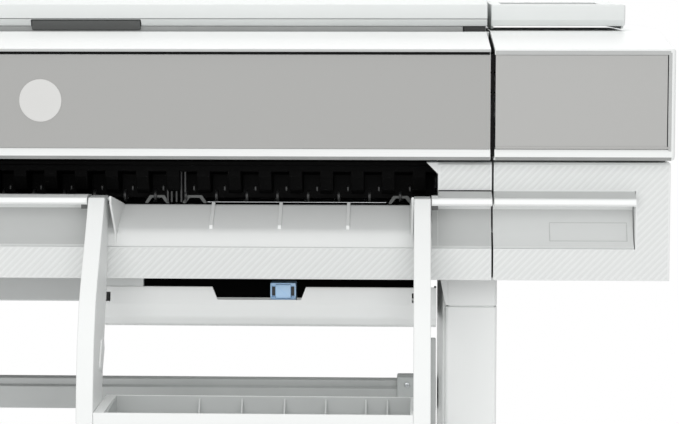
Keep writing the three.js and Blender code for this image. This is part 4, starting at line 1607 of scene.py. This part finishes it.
# -------------------- scanner
@dataclass
class Scanner(SubAssembly):
    """The scanner's bed, lid, grip and the control housing at its right end."""

    front: float = -15.0
    rear: float = 232.0
    end: float = 656.0
    split_in: float = 496.3
    split_out: float = 501.0
    bed_low: float = 975.5
    bed_high: float = 983.4

    def build(self) -> None:
        """Build every scanner piece."""
        self.bed()
        self.lid()
        self.controls()

    def bed(self) -> None:
        """Build the fixed bed with its glass seat and the dark finger grip."""
        front, rear = self.front, self.rear
        top = [
            (front + 4.5, self.bed_low, 1), (front, self.bed_high - 0.8, 0.5),
            (front + 0.4, self.bed_high, 0.3), (rear, self.bed_high, 1), (rear, self.bed_low, 1),
        ]
        core = [(6, 946), (6, 978), (226, 978), (226, 946)]
        bed = Shape().prism(top, -self.end, self.split_in, ends=(2.4, 0.8))
        bed.prism(core, -493, self.split_in - 1, fillet=2, ends=(1, 1))
        tools = Shape()
        tools.block((-470, 470), (78, 162), (979.6, 990), 0.2)
        tools.block((-466, 466), (92, 148), (950, 990), 0.2)
        tools.block((-470, 470), (40, 64), (958, 990), 0.2)
        tools.block((-38.4, 91.7), (-30, 4), (960, 983.0), 1.5)
        made = cut_away(bed, tools, "scanner_base")
        self.shop.place(made, Look.SCANNER, "base", "white_casing", ["scanner_bed"])

        grip = Shape().prism(
            [(front + 2.6, 970.6, 1), (front + 1.6, 982.6, 2), (3, 982.6, 1), (3, 970.6, 1)],
            -37.4, 90.7, ends=(1.5, 1.5),
        )
        self.add("finger_grip", grip, Look.DARK, "base", "dark_plastic")
        # A seal in the gap under the scanner; its grey is partly the gap's painted shade.
        gasket = Shape().block((-493, 468), (-9, 5), (960, 975.2), 0.5)
        self.add("scanner_gasket", gasket, Look.GASKET_AND_SHADE, "base", "dark_plastic")
        foam = Shape().block((469, 494), (-8, 5), (960, 975.2), 0.5)
        self.add("scanner_foam", foam, Look.BLACK, "base", "black_plastic")

        guide = Shape().prism([(-14, 983.3, 1), (-14, 983.9), (38, 983.9), (38, 983.3)], -4, 4)
        self.repeats.copies(
            "sheet_guides", guide, [(x, 4, -0.45) for x in range(-420, 460, 105)],
            Look.LIGHT, "base", "light_casing",
        )

    def lid(self) -> None:
        """Build the crowned lid."""
        front, rear = self.front, self.rear
        outline = [
            (front, 984.1, 0.5), (front, 1000.6, 1.6), (60, 1011.5, 40), (140, 1019.4, 40),
            (214, 1018, 12), (rear, 1006, 6), (rear, 984.1, 0.8),
        ]
        lid = Shape().prism(outline, -self.end, self.split_in, ends=(2.4, 0.6), steps=7)
        self.add("scanner_cover", lid, Look.SCANNER, "scan_lid", "white_casing", ["scanner_lid"])
        pad = Shape().block((-464, 464), (77, 163), (983.9, 984.4), 0.1)
        self.add("pressure_pad", pad, Look.LIGHT, "scan_lid", "light_casing")
        self.repeats.copies(
            "pressure_wheels", Shape().rod(Axis.X, -6, 6, 0, 0, 2.2, 16, 0.5),
            [(x, 52, 984.6) for x in range(-400, 440, 80)],
            Look.RUBBER, "scan_lid", "roller_rubber",
        )

    def controls(self) -> None:
        """Build the control housing, the tilting display and the power button."""
        front, rear = self.front, self.rear
        body = [
            (6, 972, 1), (6, self.bed_low), (front + 4.5, self.bed_low, 1),
            (front, self.bed_high - 0.8, 1), (front, 1000.6, 1.6), (60, 1001, 8),
            (215, 1005, 16), (rear, 998, 6), (rear, self.bed_low, 1), (222, 972, 1),
        ]
        housing = Shape().prism(body, self.split_out, self.end, ends=(0.6, 2.4), steps=7)
        tools = Shape()
        tools.block((504, 653), (-8, 225), (960, 988), 0.5)
        tools.block((514, 630), (18, 104), (990.5, 1010), 1.2)
        tools.rod(Axis.Z, 985, 1010, 643, 40, 6.5, 40, 0)
        made = cut_away(housing, tools, "control_case")
        self.shop.place(made, Look.SCANNER, "base", "white_casing", ["control_housing"])

        bezel = Shape().block((515, 629), (21.2, 103), (992, 999.3), 1.6)
        bezel.rod(Axis.X, 512, 632, 25, 998, 2, 16, 0.3)
        bezel.prism(
            [(521, 28.5, 3), (623, 28.5, 3), (623, 93.5, 3), (521, 93.5, 3)],
            998.4, 999.6, Axis.Z, ends=(0, 0.5),
        )
        self.add("display_bezel", bezel, Look.DARK, "display", "dark_plastic", ["control_panel"])
        glass = Shape().prism(
            [(522.5, 30, 2), (621.5, 30, 2), (621.5, 92, 2), (522.5, 92, 2)],
            999.2, 999.8, Axis.Z, ends=(0, 0.3),
        )
        self.add("display_glass", glass, Look.SCREEN, "display", "glass", ["touch_screen"])
        button = Shape().lathe(
            Axis.Z,
            [(988, 3), (992, 3), (992, 6), (999.7, 6), (1000.4, 5.5), (1000.6, 4.6),
             (1000.1, 3), (1000.0, 0.1)],
            643, 40, 48,
        )
        self.add("power_key_cap", button, Look.DARK, "power_key", "dark_plastic", ["power_button"])


# -------------------- paper exit and engine
@dataclass
class PrintEngine(SubAssembly):
    """What shows in the paper exit, and the moving parts under the lid."""

    left: float = -486.0
    right: float = 437.0
    pitch: float = 34.9
    first: float = -465.6

    def build(self) -> None:
        """Build the exit's shroud and dress the engine."""
        self.shroud()
        self.platen()
        self.carriage()
        self.dress()

    def places(self, y: float, z: float, offset: float = 0.0) -> list[tuple]:
        """Return the points of one row at the exit's pitch.

        Args:
            y: Their place in Y.
            z: Their place in Z.
            offset: How far the row is shifted in X.

        Returns:
            The points.
        """
        points = []
        x = self.first + offset
        while x < self.right - 8:
            points.append((x, y, z))
            x += self.pitch
        return points

    def shroud(self) -> None:
        """Build the starwheel beam with its fins, wheels and lower bar."""
        beam = Shape().prism(
            [(-100, 812, 2), (-100, 828, 3), (-60, 832, 2), (-56, 832), (-56, 806), (-66, 806),
             (-74, 810, 3)],
            self.left, self.right, ends=(0.5, 0.5),
        )
        beam.prism([(-99, 818, 1), (-102, 820, 1), (-102, 824, 1), (-99, 826, 1)],
                   self.left + 2, self.right - 2)
        self.add("starwheel_beam", beam, Look.SHROUD, "base", "black_plastic", ["starwheel_bar"])
        fin = Shape().prism(
            [(-100, 814), (-100, 806, 2), (-94, 791, 3), (-84, 786, 3), (-66, 786, 3), (-62, 812)],
            -6, 9, ends=(1, 1),
        )
        self.repeats.copies(
            "starwheel_holders", fin, self.places(0, 0, 9), Look.SHROUD, "base", "black_plastic",
        )
        post = Shape().prism(
            [(-102.5, 791, 1), (-102.5, 796, 1), (-96, 797), (-96, 790)], -0.9, 0.9,
            ends=(0.3, 0.3),
        )
        self.repeats.copies(
            "starwheel_springs", post, self.places(0, 0), Look.BLACK, "base", "dark_plastic",
        )
        # Painted shade: a near-black sheet behind the starwheel holders.
        curtain = Shape().block((self.left + 2, self.right - 2), (-55.6, -54), (778, 812), 0.3)
        self.add("exit_curtain", curtain, Look.SHADE_SHEET, "base", "black_plastic")
        wheel = Shape().rod(Axis.X, -1.5, 1.5, -84, 783.5, 6.5, 14, 0.5)
        self.repeats.copies(
            "starwheels", wheel, self.places(0, 0, 24), Look.BLACK, "base", "black_plastic",
        )

    def platen(self) -> None:
        """Build the sheet support behind the ramp, with its end brackets."""
        bed = Shape().block((self.left, self.right), (-85, 44), (764, 771), 0.6)
        bed.prism([(-84, 770), (-84, 773.2, 1), (-80, 775.4, 2), (-60, 774, 2), (-60, 770)],
                  self.left, self.right)
        self.add("platen_bed", bed, Look.SHROUD, "base", "black_plastic", ["platen"])
        rib = Shape().prism([(-58, 770), (-57, 773.2, 1), (38, 773.2, 1), (39, 770)], -1, 1)
        self.repeats.copies(
            "platen_ribs", rib, self.places(0, 0, 17), Look.BLACK, "base", "black_plastic",
        )
        bracket = Shape().prism(
            [(-14, 774.6, 1), (-8, 784, 2), (9, 784, 2), (15, 774.6, 1), (11, 774.6, 0.5),
             (6, 781, 1.5), (-5, 781, 1.5), (-10, 774.6, 0.5)],
            -87, -83, Axis.Y,
        )
        spots = [(118, 0, 0), (161, 0, 0), (396, 0, 0), (-250, 0, 0), (-207, 0, 0)]
        self.repeats.copies("exit_brackets", bracket, spots, Look.DARK, "base", "dark_plastic")
        wire = Shape().rod(Axis.X, 176, 380, -85.5, 776.2, 0.55, 10, 0.1)
        self.add("exit_wire", wire, Look.STEEL, "base", "bare_steel")
        self.repeats.copies(
            "exit_pinch_bars", Shape().block((-1.1, 1.1), (-88, -84), (776, 812), 0.5),
            [(x, -1, 0) for x in (131, 135.5, 141, 146.5, 151)],
            Look.BLACK, "base", "black_plastic",
        )

    def carriage(self) -> None:
        """Build the print carriage with its cover, latch and rail shoe."""
        body = Shape()
        body.prism(
            [(-50, 796, 3), (-50, 905, 8), (-42, 925, 6), (12, 925, 4), (18, 918, 3), (18, 796, 2)],
            508, 632, ends=(2.5, 2.5),
        )
        body.block((520, 620), (-40, 8), (781, 797), 1.5)
        body.block((514, 626), (-44, 12), (923, 930), 2)
        body.block((530, 610), (17, 45), (892.4, 895), 0.5)
        body.block((560, 580), (17, 22.4), (912, 924), 0.5)
        self.add("carriage_body", body, Look.BLACK, "print_carriage", "black_plastic", ["carriage"])
        latch = Shape().prism(
            [(-51.5, 850, 2), (-53, 880, 3), (-50, 884, 1), (-48, 884), (-48, 848)], 546, 594,
            ends=(1.5, 1.5),
        )
        self.add("carriage_latch", latch, Look.BLUE, "print_carriage", "blue_latch")

    def dress(self) -> None:
        """Round the edges of the engine's smaller parts and give them their finishes."""
        self.shop.keep("scanner_glass", Look.SCREEN)
        self.shop.keep("carriage_belt", Look.RUBBER)
        parts = {
            "base_pan": (Look.BLACK, "base", "frame_metal", 0.6),
            "left_chassis_plate": (Look.CHASSIS, "base", "bare_steel", 0.3),
            "right_chassis_plate": (Look.CHASSIS, "base", "bare_steel", 0.3),
            "feed_pinion": (Look.LIGHT, "motor_pinion", "light_casing", 0.25),
            "feed_motor": (Look.DARK, "base", "frame_metal", 0.6),
            "carriage_rail": (Look.STEEL, "base", "bare_steel", 0.4),
            "belt_drive_pulley": (Look.STEEL, "drive_pulley", "bare_steel", 0.25),
            "belt_idler_pulley": (Look.STEEL, "idler_pulley", "bare_steel", 0.25),
            "carriage_motor": (Look.DARK, "base", "frame_metal", 0.6),
            "feed_roller": (Look.STEEL, "paper_roller", "bare_steel", 0.3),
            "scanner_sensor_bar": (Look.BLACK, "base", "black_plastic", 0.4),
            "scanner_feed_roller": (Look.RUBBER, "scan_roller", "roller_rubber", 0.4),
            "service_station": (Look.DARK, "base", "dark_plastic", 0.5),
            "ink_bay": (Look.DARK, "base", "dark_plastic", 0.5),
        }
        for node, (look, body, slot, width) in parts.items():
            self.shop.place(softened(node, width), look, body, slot, [node])
        inks = {"cyan": Look.CYAN, "magenta": Look.MAGENTA, "yellow": Look.YELLOW,
                "black": Look.INK_BLACK}
        for colour, look in inks.items():
            node = f"ink_cartridge_{colour}"
            self.shop.place(
                softened(node, 1.4, 3), look, f"cartridge_{colour}", f"ink_{colour}", [node]
            )


# -------------------- rear
@dataclass
class RearSide(SubAssembly):
    """The roll cover, the trough, the back wall, the spindle and the power inlet."""

    def build(self) -> None:
        """Build the rear."""
        cover = Shape().prism(
            [(238.8, 966.2, 0.8), (262, 958, 26), (279, 938.5, 26), (285, 915, 26),
             (285, 788.2, 1.2), (282, 788.2, 1), (282, 914, 24), (276.3, 936.5, 24),
             (260, 955, 24), (238.8, 963, 0.6)],
            -468.6, 468.6, ends=(0.8, 0.8), steps=8,
        )
        cover.rod(Axis.X, -466, 466, 244, 958, 4, 24)
        cover.rod(Axis.X, -474, 474, 244, 958, 2, 16, 0.2)
        cover.prism([(241, 957), (241, 963.5), (248, 961.5), (248, 957)], -460, 460)
        cover.prism([(279, 788.4, 1), (283, 788.4), (283, 796), (279, 793, 1)], -60, 60)
        self.add("roll_hatch", cover, Look.LIGHT, "roll_lid", "light_casing", ["roll_cover"])
        self.shop.place(
            softened("rear_cover", 0.5), Look.LIGHT, "base", "light_casing", ["rear_cover"]
        )
        trough = Shape().prism(
            [(130, 699), (130, 627, 3), (284.7, 627, 3), (284.7, 699)], -432, 432, ends=(2, 2)
        )
        hollow = Shape().prism(
            [(133, 712), (133, 630, 2), (281.7, 630, 2), (281.7, 712)], -429, 429, ends=(1, 1)
        )
        bin_part = cut_away(trough, hollow, "roll_cradle")
        self.shop.place(bin_part, Look.LIGHT, "base", "dark_plastic", ["roll_trough"])

        y, z = 208, 742
        spindle = Shape()
        spindle.rod(Axis.X, -486, 441, y, z, 22, 48)
        spindle.rod(Axis.X, -494, 448, y, z, 10, 32)
        for x in (-484, 432):
            spindle.lathe(
                Axis.X, [(x, 24), (x, 40), (x + 1.5, 40), (x + 6, 38), (x + 6, 24)], y, z, 64
            )
        for k in range(8):
            a = k * math.pi / 4
            spindle.rod(
                Axis.X, -470, 425, y + 21.4 * math.cos(a), z + 21.4 * math.sin(a), 1.6, 10
            )
        self.add("spindle_tube", spindle, Look.DARK, "spindle", "dark_plastic", ["roll_spindle"])
        box = softened("electronics_box", 0.6)
        self.shop.place(box, Look.DARK, "base", "dark_plastic", ["electronics_box"])
        pins = Shape()
        for x in (-627, -620, -613):
            pins.block((x - 0.7, x + 0.7), (270, 281), (760, 766), 0.3)
        self.add("inlet_blades", pins, Look.STEEL, "base", "bare_steel")
        heads = [(x, 285, z) for x in (-480, -240, 240, 480) for z in (706, 778)]
        self.repeats.copies(
            "rear_screws", screw_head(3.4, 1), heads, Look.STEEL, "base", "bare_steel", math.pi, 11,
        )


# -------------------- stand
@dataclass
class Stand(SubAssembly):
    """Two legs, two feet, four casters and the brace between the legs."""

    foot_x: float = 478.0
    caster_y: float = 300.0

    def build(self) -> None:
        """Build both sides and the brace."""
        for side, name in ((-1, "left"), (1, "right")):
            self.leg(side, name)
            self.foot(side, name)
            for end, where in ((-1, "front"), (1, "rear")):
                self.caster(side, name, end, where)
        self.brace()

    def leg(self, side: int, name: str) -> None:
        """Build one column: the face, the grey inner channel and the head.

        Args:
            side: -1 for the left, 1 for the right.
            name: The side's name.
        """
        shaft = mirrored(
            side, [(448.3, -60, 4), (507.5, -60, 4), (507.5, 30, 3), (449.5, 30, 2)]
        )
        core = mirrored(side, [(451, -57, 3), (505, -57, 3), (505, 28, 2), (451, 28, 2)])
        column = Shape().prism(shaft, 112.6, 652.8, Axis.Z, ends=(0.6, 0.8))
        column.prism(shaft, 654.4, 693.6, Axis.Z, ends=(0.8, 0.4))
        column.prism(core, 640, 694, Axis.Z)
        wing = [(side * 440.5, 693.6), (side * 452, 693.6), (side * 452, 654.6, 1),
                (side * 448.3, 654.6, 1)]
        column.prism(wing, -59.6, -57.2, Axis.Y, 0.3)
        self.add(f"{name}_column", column, Look.STAND, "base", "stand_metal", [f"{name}_leg"])
        channel = Shape().prism(
            mirrored(side, [(439.6, 26, 1), (449.9, 26), (449.9, -50), (445.4, -50, 1)]),
            112.8, 676, Axis.Z,
        )
        self.add(f"{name}_channel", channel, Look.CHANNEL, "base", "frame_metal")

    def foot(self, side: int, name: str) -> None:
        """Build one foot, its end caps and its column flange.

        Args:
            side: -1 for the left, 1 for the right.
            name: The side's name.
        """
        x = side * self.foot_x
        side_view = [
            (-347, 81, 5), (-339, 70.2, 3), (339, 70.2, 3), (347, 81, 5), (347, 91, 5),
            (334, 98, 12), (120, 112, 60), (-120, 112, 60), (-334, 98, 12), (-347, 91, 5),
        ]
        foot = Shape().prism(side_view, x - 32, x + 32, ends=(4, 4), steps=7)
        flange = [(x - 32, -66, 5), (x + 32, -66, 5), (x + 32, 36, 5), (x - 32, 36, 5)]
        foot.prism(flange, 108, 112.3, Axis.Z, ends=(0.2, 0.8))
        self.add(f"{name}_foot_beam", foot, Look.STAND, "base", "stand_metal", [f"{name}_foot"])
        bolts = [(x + dx, dy, 112.2) for dx in (-27, 27) for dy in (-62, 32)]
        self.repeats.copies(
            f"{name}_foot_bolts", screw_head(3.2, 1, Axis.Z), bolts,
            Look.STEEL, "base", "bare_steel",
        )

    def caster(self, side: int, name: str, end: int, where: str) -> None:
        """Build one caster: fork, stem, hooded wheel and hub.

        Args:
            side: -1 for the left, 1 for the right.
            name: The side's name.
            end: -1 for the front, 1 for the rear.
            where: The end's name.
        """
        x, y = side * self.foot_x, end * self.caster_y
        tag, axle, height = f"{where}_{name}", y + 10, 28.0
        fork = Shape().rod(Axis.Z, 63, 69.6, x, y, 13, 48, 0.6)
        fork.prism(
            [(x - 17, y - 16, 8), (x + 17, y - 16, 8), (x + 17, y + 24, 4), (x - 17, y + 24, 4)],
            59.5, 64, Axis.Z, ends=(0.8, 1.2),
        )
        ear = [(y - 14, 62, 3), (axle - 9, 22, 8), (axle + 9, 22, 8), (y + 23, 62, 3)]
        fork.prism(ear, x - 17, x - 14.2, ends=(0.5, 0.5), steps=7)
        fork.prism(ear, x + 14.2, x + 17, ends=(0.5, 0.5), steps=7)
        self.add(
            f"caster_yoke_{tag}", fork, Look.GREY, f"caster_{tag}", "frame_metal",
            [f"caster_fork_{tag}"],
        )
        tyre = [
            (x - 11, 20), (x - 11, 24), (x - 10.4, 26.6), (x - 8, 27.8), (x, 28), (x + 8, 27.8),
            (x + 10.4, 26.6), (x + 11, 24), (x + 11, 20),
        ]
        wheel = Shape().lathe(Axis.X, tyre, axle, height, 64)
        self.add(
            f"caster_tyre_{tag}", wheel, Look.RUBBER, f"wheel_{tag}", "roller_rubber",
            [f"caster_wheel_{tag}"],
        )
        hub = Shape().lathe(
            Axis.X,
            [(x - 13, 0.5), (x - 13, 6), (x - 11.6, 7), (x - 10, 19.5), (x - 11.2, 20.4),
             (x - 9, 21.5), (x + 9, 21.5), (x + 11.2, 20.4), (x + 10, 19.5), (x + 11.6, 7),
             (x + 13, 6), (x + 13, 0.5)],
            axle, height, 48,
        )
        hub.rod(Axis.X, x - 16.6, x + 16.6, axle, height, 3.9, 24)
        self.add(f"caster_hub_{tag}", hub, Look.GREY, f"wheel_{tag}", "frame_metal")

    def brace(self) -> None:
        """Build the folded brace and the blocks that hold its ends."""
        channel = Shape().prism(
            [(4, 517, 1), (26, 517, 1), (26, 519.4), (6.4, 519.4), (6.4, 542.2), (11.4, 544.6, 1),
             (11.4, 550.6), (26, 550.6), (26, 553, 1), (9, 553, 1.4), (9, 545.6, 0.8),
             (4, 543.6, 1.4)],
            -436, 436,
        )
        self.add("brace_channel", channel, Look.GREY, "base", "frame_metal", ["cross_brace"])
        blocks = Shape()
        for side in (-1, 1):
            blocks.block(span_at(side, 392, 438.4), (0, 27), (517, 558.5), 2)
        self.add("brace_ends", blocks, Look.MID, "base", "frame_metal")
        bolts = [(s * x, 0, z) for s in (-1, 1) for x in (404, 426) for z in (526, 549)]
        self.repeats.copies(
            "brace_bolts", screw_head(3.4, -1), bolts, Look.STEEL, "base", "bare_steel",
        )


# -------------------- stacker and tray
@dataclass
class Stacker(SubAssembly):
    """The two hanging arms and the divided bin between them."""

    left_arm: Point = (50.0, 68.6)
    right_arm: Point = (411.6, 430.2)

    def arm_outline(self) -> list[Corner]:
        """Return the side view of an arm.

        Returns:
            The outline.
        """
        front = [(-152.5, 787.6, 2), (-164, 768, 30), (-184, 738, 40), (-205, 708, 60),
                 (-222, 680, 60), (-237, 638, 90), (-247, 588, 120), (-252, 538, 160),
                 (-254, 430, 8)]
        back = [(-248, 418.4, 6), (-216, 418.4, 6), (-206, 430, 8), (-201, 500, 120),
                (-194, 548, 120), (-169, 620, 120), (-147, 678, 90), (-138, 716, 60),
                (-135.5, 742, 30), (-124.5, 772, 6), (-124.5, 787.6, 2)]
        return front + back

    def build(self) -> None:
        """Build the arms, the link plates and the bin."""
        for name, (x0, x1) in (("left", self.left_arm), ("right", self.right_arm)):
            arm = Shape().prism(self.arm_outline(), x0, x1, ends=(1.3, 1.3), steps=6)
            pin = (45, 74) if name == "left" else (408.3, 435)
            arm.rod(Axis.X, *pin, -128, 783.6, 2.2, 20, 0.3)
            self.add(
                f"arm_{name}", arm, Look.WHITE, "stacker", "white_casing", [f"stacker_arm_{name}"],
            )
        boss = Shape().prism(
            [(-178, 636, 2), (-190, 634, 2), (-206, 606, 4), (-190, 598, 3), (-174, 622, 3)],
            67.6, 70.4, ends=(0.4, 0.9),
        )
        self.add("arm_boss", boss, Look.WHITE, "stacker", "white_casing")
        links = Shape()
        links.prism(
            [(-192, 640, 2), (-204, 640, 2), (-214, 610, 10), (-222, 560, 20), (-226, 430, 3),
             (-210, 430, 3), (-200, 540, 30), (-184, 600, 12)],
            429.4, 435.8, ends=(0.4, 1.2),
        )
        self.add("arm_links", links, Look.GREY, "stacker", "frame_metal")
        self.bin()

    def bin(self) -> None:
        """Build the bin and its fins."""
        trough = [(-250.4, 566, 0.9), (-253.4, 440, 10), (-241, 424, 10), (-169, 424, 10),
                  (-157.2, 440, 10), (-155.2, 566.6, 0.9)]
        inside = [(-247.8, 580), (-250.4, 441, 9), (-239, 427, 9), (-171, 427, 9),
                  (-160, 441, 9), (-158, 580)]
        outer = Shape().prism(trough, 68.9, 411.3, ends=(0.5, 0.5))
        hollow = Shape().prism(inside, 80, 408.4, ends=(0.5, 0.5))
        made = cut_away(outer, hollow, "bin_shell")
        self.shop.place(made, Look.WHITE, "stacker", "white_casing", ["stacker_bin"])
        # The fins take the bin's painted shade.
        fin = Shape().prism(
            [(-158.4, 563.5, 1), (-161, 563.5, 1), (-176, 540, 6), (-190, 427.4, 2), (-160, 427.4)],
            -1.1, 1.1,
        )
        spots = [(x, 0, 0) for x in (174, 221.4, 268.8, 314.5, 359, 383)]
        self.repeats.copies("bin_fins", fin, spots, Look.INSIDE, "stacker", "white_casing")
        # Painted shade: a darker lining over the bin's inside.
        lining = Shape().prism(
            [(-250.2, 441, 9), (-239, 427.2, 9), (-171, 427.2, 9), (-160.2, 441, 9),
             (-158.2, 566.2, 0.3), (-158.9, 566.2, 0.3), (-160.9, 441, 8), (-171.3, 428, 8),
             (-238.7, 428, 8), (-249.4, 441, 8)],
            80.1, 408.3, ends=(0.1, 0.1),
        )
        lining.prism([(-247.2, 560), (-249.6, 442), (-239, 428), (-171, 428), (-161, 442),
                      (-159, 566)], 79.9, 80.8, ends=(0.1, 0.1))
        self.add("bin_lining", lining, Look.INSIDE, "stacker", "white_casing")


@dataclass
class LowerTray(SubAssembly):
    """The tray under the body and its blue latch."""

    left: float = 56.5
    right: float = 437.4

    def build(self) -> None:
        """Build the tray and the latch."""
        wall = [
            (-95, 680, 0.6), (-98, 660, 8), (-97, 645, 8), (-90, 636, 8), (-78, 632, 6),
            (30, 632, 1), (30, 646, 0.6), (27.5, 646, 0.6), (27.5, 634.5, 1), (-77, 634.5, 5),
            (-88, 638, 6), (-94.5, 646, 6), (-95.3, 660, 6), (-92.3, 680, 0.6),
        ]
        cheek = [(-95, 680, 0.6), (-98, 660, 8), (-97, 645, 8), (-90, 636, 8), (-78, 632, 6),
                 (30, 632, 1), (30, 646, 2), (-40, 668, 6), (-80, 680, 4)]
        tray = Shape().prism(wall, self.left, self.right, ends=(0.6, 0.6))
        tray.prism(cheek, self.left, self.left + 2.5)
        tray.prism(cheek, self.right - 2.5, self.right)
        tools = Shape().prism(
            [(182, 700), (182, 680), (188, 665.5, 2), (283.5, 665.5, 2), (289, 680), (289, 700)],
            -112, -86, Axis.Y,
        )
        tools.block((57.6, 65.4), (-112, -86), (663, 673.6), 0.3)
        tools.block((409.6, 418), (-112, -86), (663, 673.6), 0.3)
        for x in (66, 428):
            tools.block((x - 3, x + 3), (20, 50), (620, 650), 0.2)
        shell = cut_away(tray, tools, "tray_shell")
        self.shop.place(shell, Look.WHITE, "tray", "light_casing", ["lower_tray"])
        # Painted shade: a near-black sheet above the tray, behind its front wall.
        baffle = Shape().block((84, 430), (39.5, 41.5), (647, 694.5), 0.4)
        self.add("tray_bay_baffle", baffle, Look.SHADE_SHEET, "base", "black_plastic")
        extras = Shape().block((60, 103), (-93.6, -87), (676, 689.6), 0.6)
        extras.rod(Axis.X, 61, 433, 32, 640, 4, 24)
        extras.block((72, 422), (26, 33), (632.4, 641), 0.5)
        extras.block((246, 279), (-92, -60), (650, 652), 0.3)
        extras.block((246, 279), (-66, -60), (633, 652), 0.3)
        self.add("tray_rail", extras, Look.LIGHT, "tray", "light_casing")

        latch = Shape().prism(
            [(247.6, 653, 1.5), (277.3, 653, 1.5), (277.3, 684, 2), (247.6, 684, 2)],
            -84, -70, Axis.Y, ends=(1, 0.6),
        )
        latch.prism([(247.8, 653.2, 1), (277.1, 653.2, 1), (277.1, 667.4, 1), (247.8, 667.4, 1)],
                    -88, -80, Axis.Y, ends=(1, 0))
        latch.prism(
            [(247.8, 679.6, 1), (277.1, 679.6, 1), (277.1, 683.8, 1.6), (247.8, 683.8, 1.6)],
            -88, -80, Axis.Y, ends=(1, 0),
        )
        for x in (247.8, 275.3):
            latch.block((x, x + 1.8), (-88, -80), (660, 683), 0.5)
        latch.prism(
            [(253.6, 666, 1), (271.4, 666, 1), (271.4, 682, 1), (253.6, 682, 1)],
            -90, -80, Axis.Y, ends=(1, 0),
        )
        self.add("latch_key", latch, Look.BLUE, "latch", "blue_latch", ["tray_latch"])
        slots = Shape()
        for x in (249.7, 271.6):
            slots.block((x, x + 3.6), (-84.6, -83.8), (668.4, 678.8), 0.2)
        self.add("latch_slots", slots, Look.BLACK, "latch", "black_plastic")


# -------------------- studio
@dataclass
class Studio:
    """The pale floor, the soft lights and the camera."""

    place: tuple[float, float, float] = (0.41228, -2.350, 1.015)
    turn: float = 2.16
    dip: float = 4.7356
    lens: float = 106.04
    shift: float = -0.08
    surround: float = 0.6
    floor_radius: float = 2150.0
    floor_sides: int = 96

    def build(self) -> None:
        """Build the studio."""
        self.floor()
        self.lights()
        self.camera()

    def floor(self) -> None:
        """Lay a round, pale floor."""
        made = bpy.data.materials.new("studio_floor")
        made.use_nodes = True
        shader = made.node_tree.nodes["Principled BSDF"]
        shader.inputs["Base Color"].default_value = (0.86, 0.86, 0.86, 1)
        shader.inputs["Roughness"].default_value = 0.9
        turns = [2 * math.pi * k / self.floor_sides for k in range(self.floor_sides)]
        rim = [(self.floor_radius * math.cos(a), self.floor_radius * math.sin(a)) for a in turns]
        ring = Shape().prism(rim, -8, -0.2, Axis.Z, ends=(0, 0)).mesh_object("studio_floor")
        ring.data.materials.append(made)

    def lights(self) -> None:
        """Set a bright surround and four soft boxes."""
        scene = bpy.context.scene
        scene.view_settings.view_transform = "Standard"
        world = bpy.data.worlds.new("studio")
        world.use_nodes = True
        scene.world = world
        tree = world.node_tree
        seen, lit = tree.nodes["Background"], tree.nodes.new("ShaderNodeBackground")
        seen.inputs["Color"].default_value = (1, 1, 1, 1)
        seen.inputs["Strength"].default_value = 1.0
        lit.inputs["Color"].default_value = (1.0, 1.0, 1.0, 1)
        lit.inputs["Strength"].default_value = self.surround
        path, mix = tree.nodes.new("ShaderNodeLightPath"), tree.nodes.new("ShaderNodeMixShader")
        join_up(
            tree,
            (path, "Is Camera Ray", mix, "Fac"),
            (lit, "Background", mix, 1),
            (seen, "Background", mix, 2),
            (mix, "Shader", tree.nodes["World Output"], "Surface"),
        )
        self.softbox("overhead", (0.2, 0.0, 3.2), (0.2, 0.05, 0.9), (2.8, 1.6), 28)
        self.softbox("front", (0.2, -3.3, 1.75), (0.25, 0.0, 0.6), (3.2, 1.4), 31)
        self.softbox("low", (0.2, -2.7, 0.35), (0.25, 0.0, 0.62), (2.6, 0.5), 10)
        self.softbox("back", (0.4, 2.6, 2.0), (0.0, 0.1, 0.7), (2.4, 1.2), 14)

    @staticmethod
    def softbox(
        name: str, at: Sequence[float], aim: Sequence[float], size: Point, power: float
    ) -> None:
        """Hang one rectangular light that faces a point.

        Args:
            name: The light's name.
            at: Its place, in metres.
            aim: The point it faces.
            size: Its width and height.
            power: Its power in watts.
        """
        data = bpy.data.lights.new(name, "AREA")
        data.shape, data.size, data.size_y, data.energy = "RECTANGLE", size[0], size[1], power
        lamp = bpy.data.objects.new(name, data)
        lamp.location = at
        direction = Vector(aim) - Vector(at)
        lamp.rotation_euler = direction.to_track_quat("-Z", "Y").to_euler()
        bpy.context.scene.collection.objects.link(lamp)

    def camera(self) -> None:
        """Set the camera at the operator's standing view."""
        data = bpy.data.cameras.new("view")
        data.lens, data.sensor_width, data.shift_y = self.lens, 36.0, self.shift
        eye = bpy.data.objects.new("view", data)
        eye.location = self.place
        eye.rotation_euler = (math.radians(90 - self.dip), 0, math.radians(self.turn))
        bpy.context.scene.collection.objects.link(eye)
        bpy.context.scene.camera = eye


def main() -> None:
    """Build the machine and the studio."""
    logging.basicConfig(level=logging.INFO, format="%(name)s: %(message)s")
    shop = Workshop()
    repeats = Repeats(shop)
    for part in (
        FrontPanel, UpperCovers, Scanner, PrintEngine, RearSide, Stand, Stacker, LowerTray
    ):
        part(shop, repeats).build()
    Studio().build()


if __name__ == "__main__":
    main()
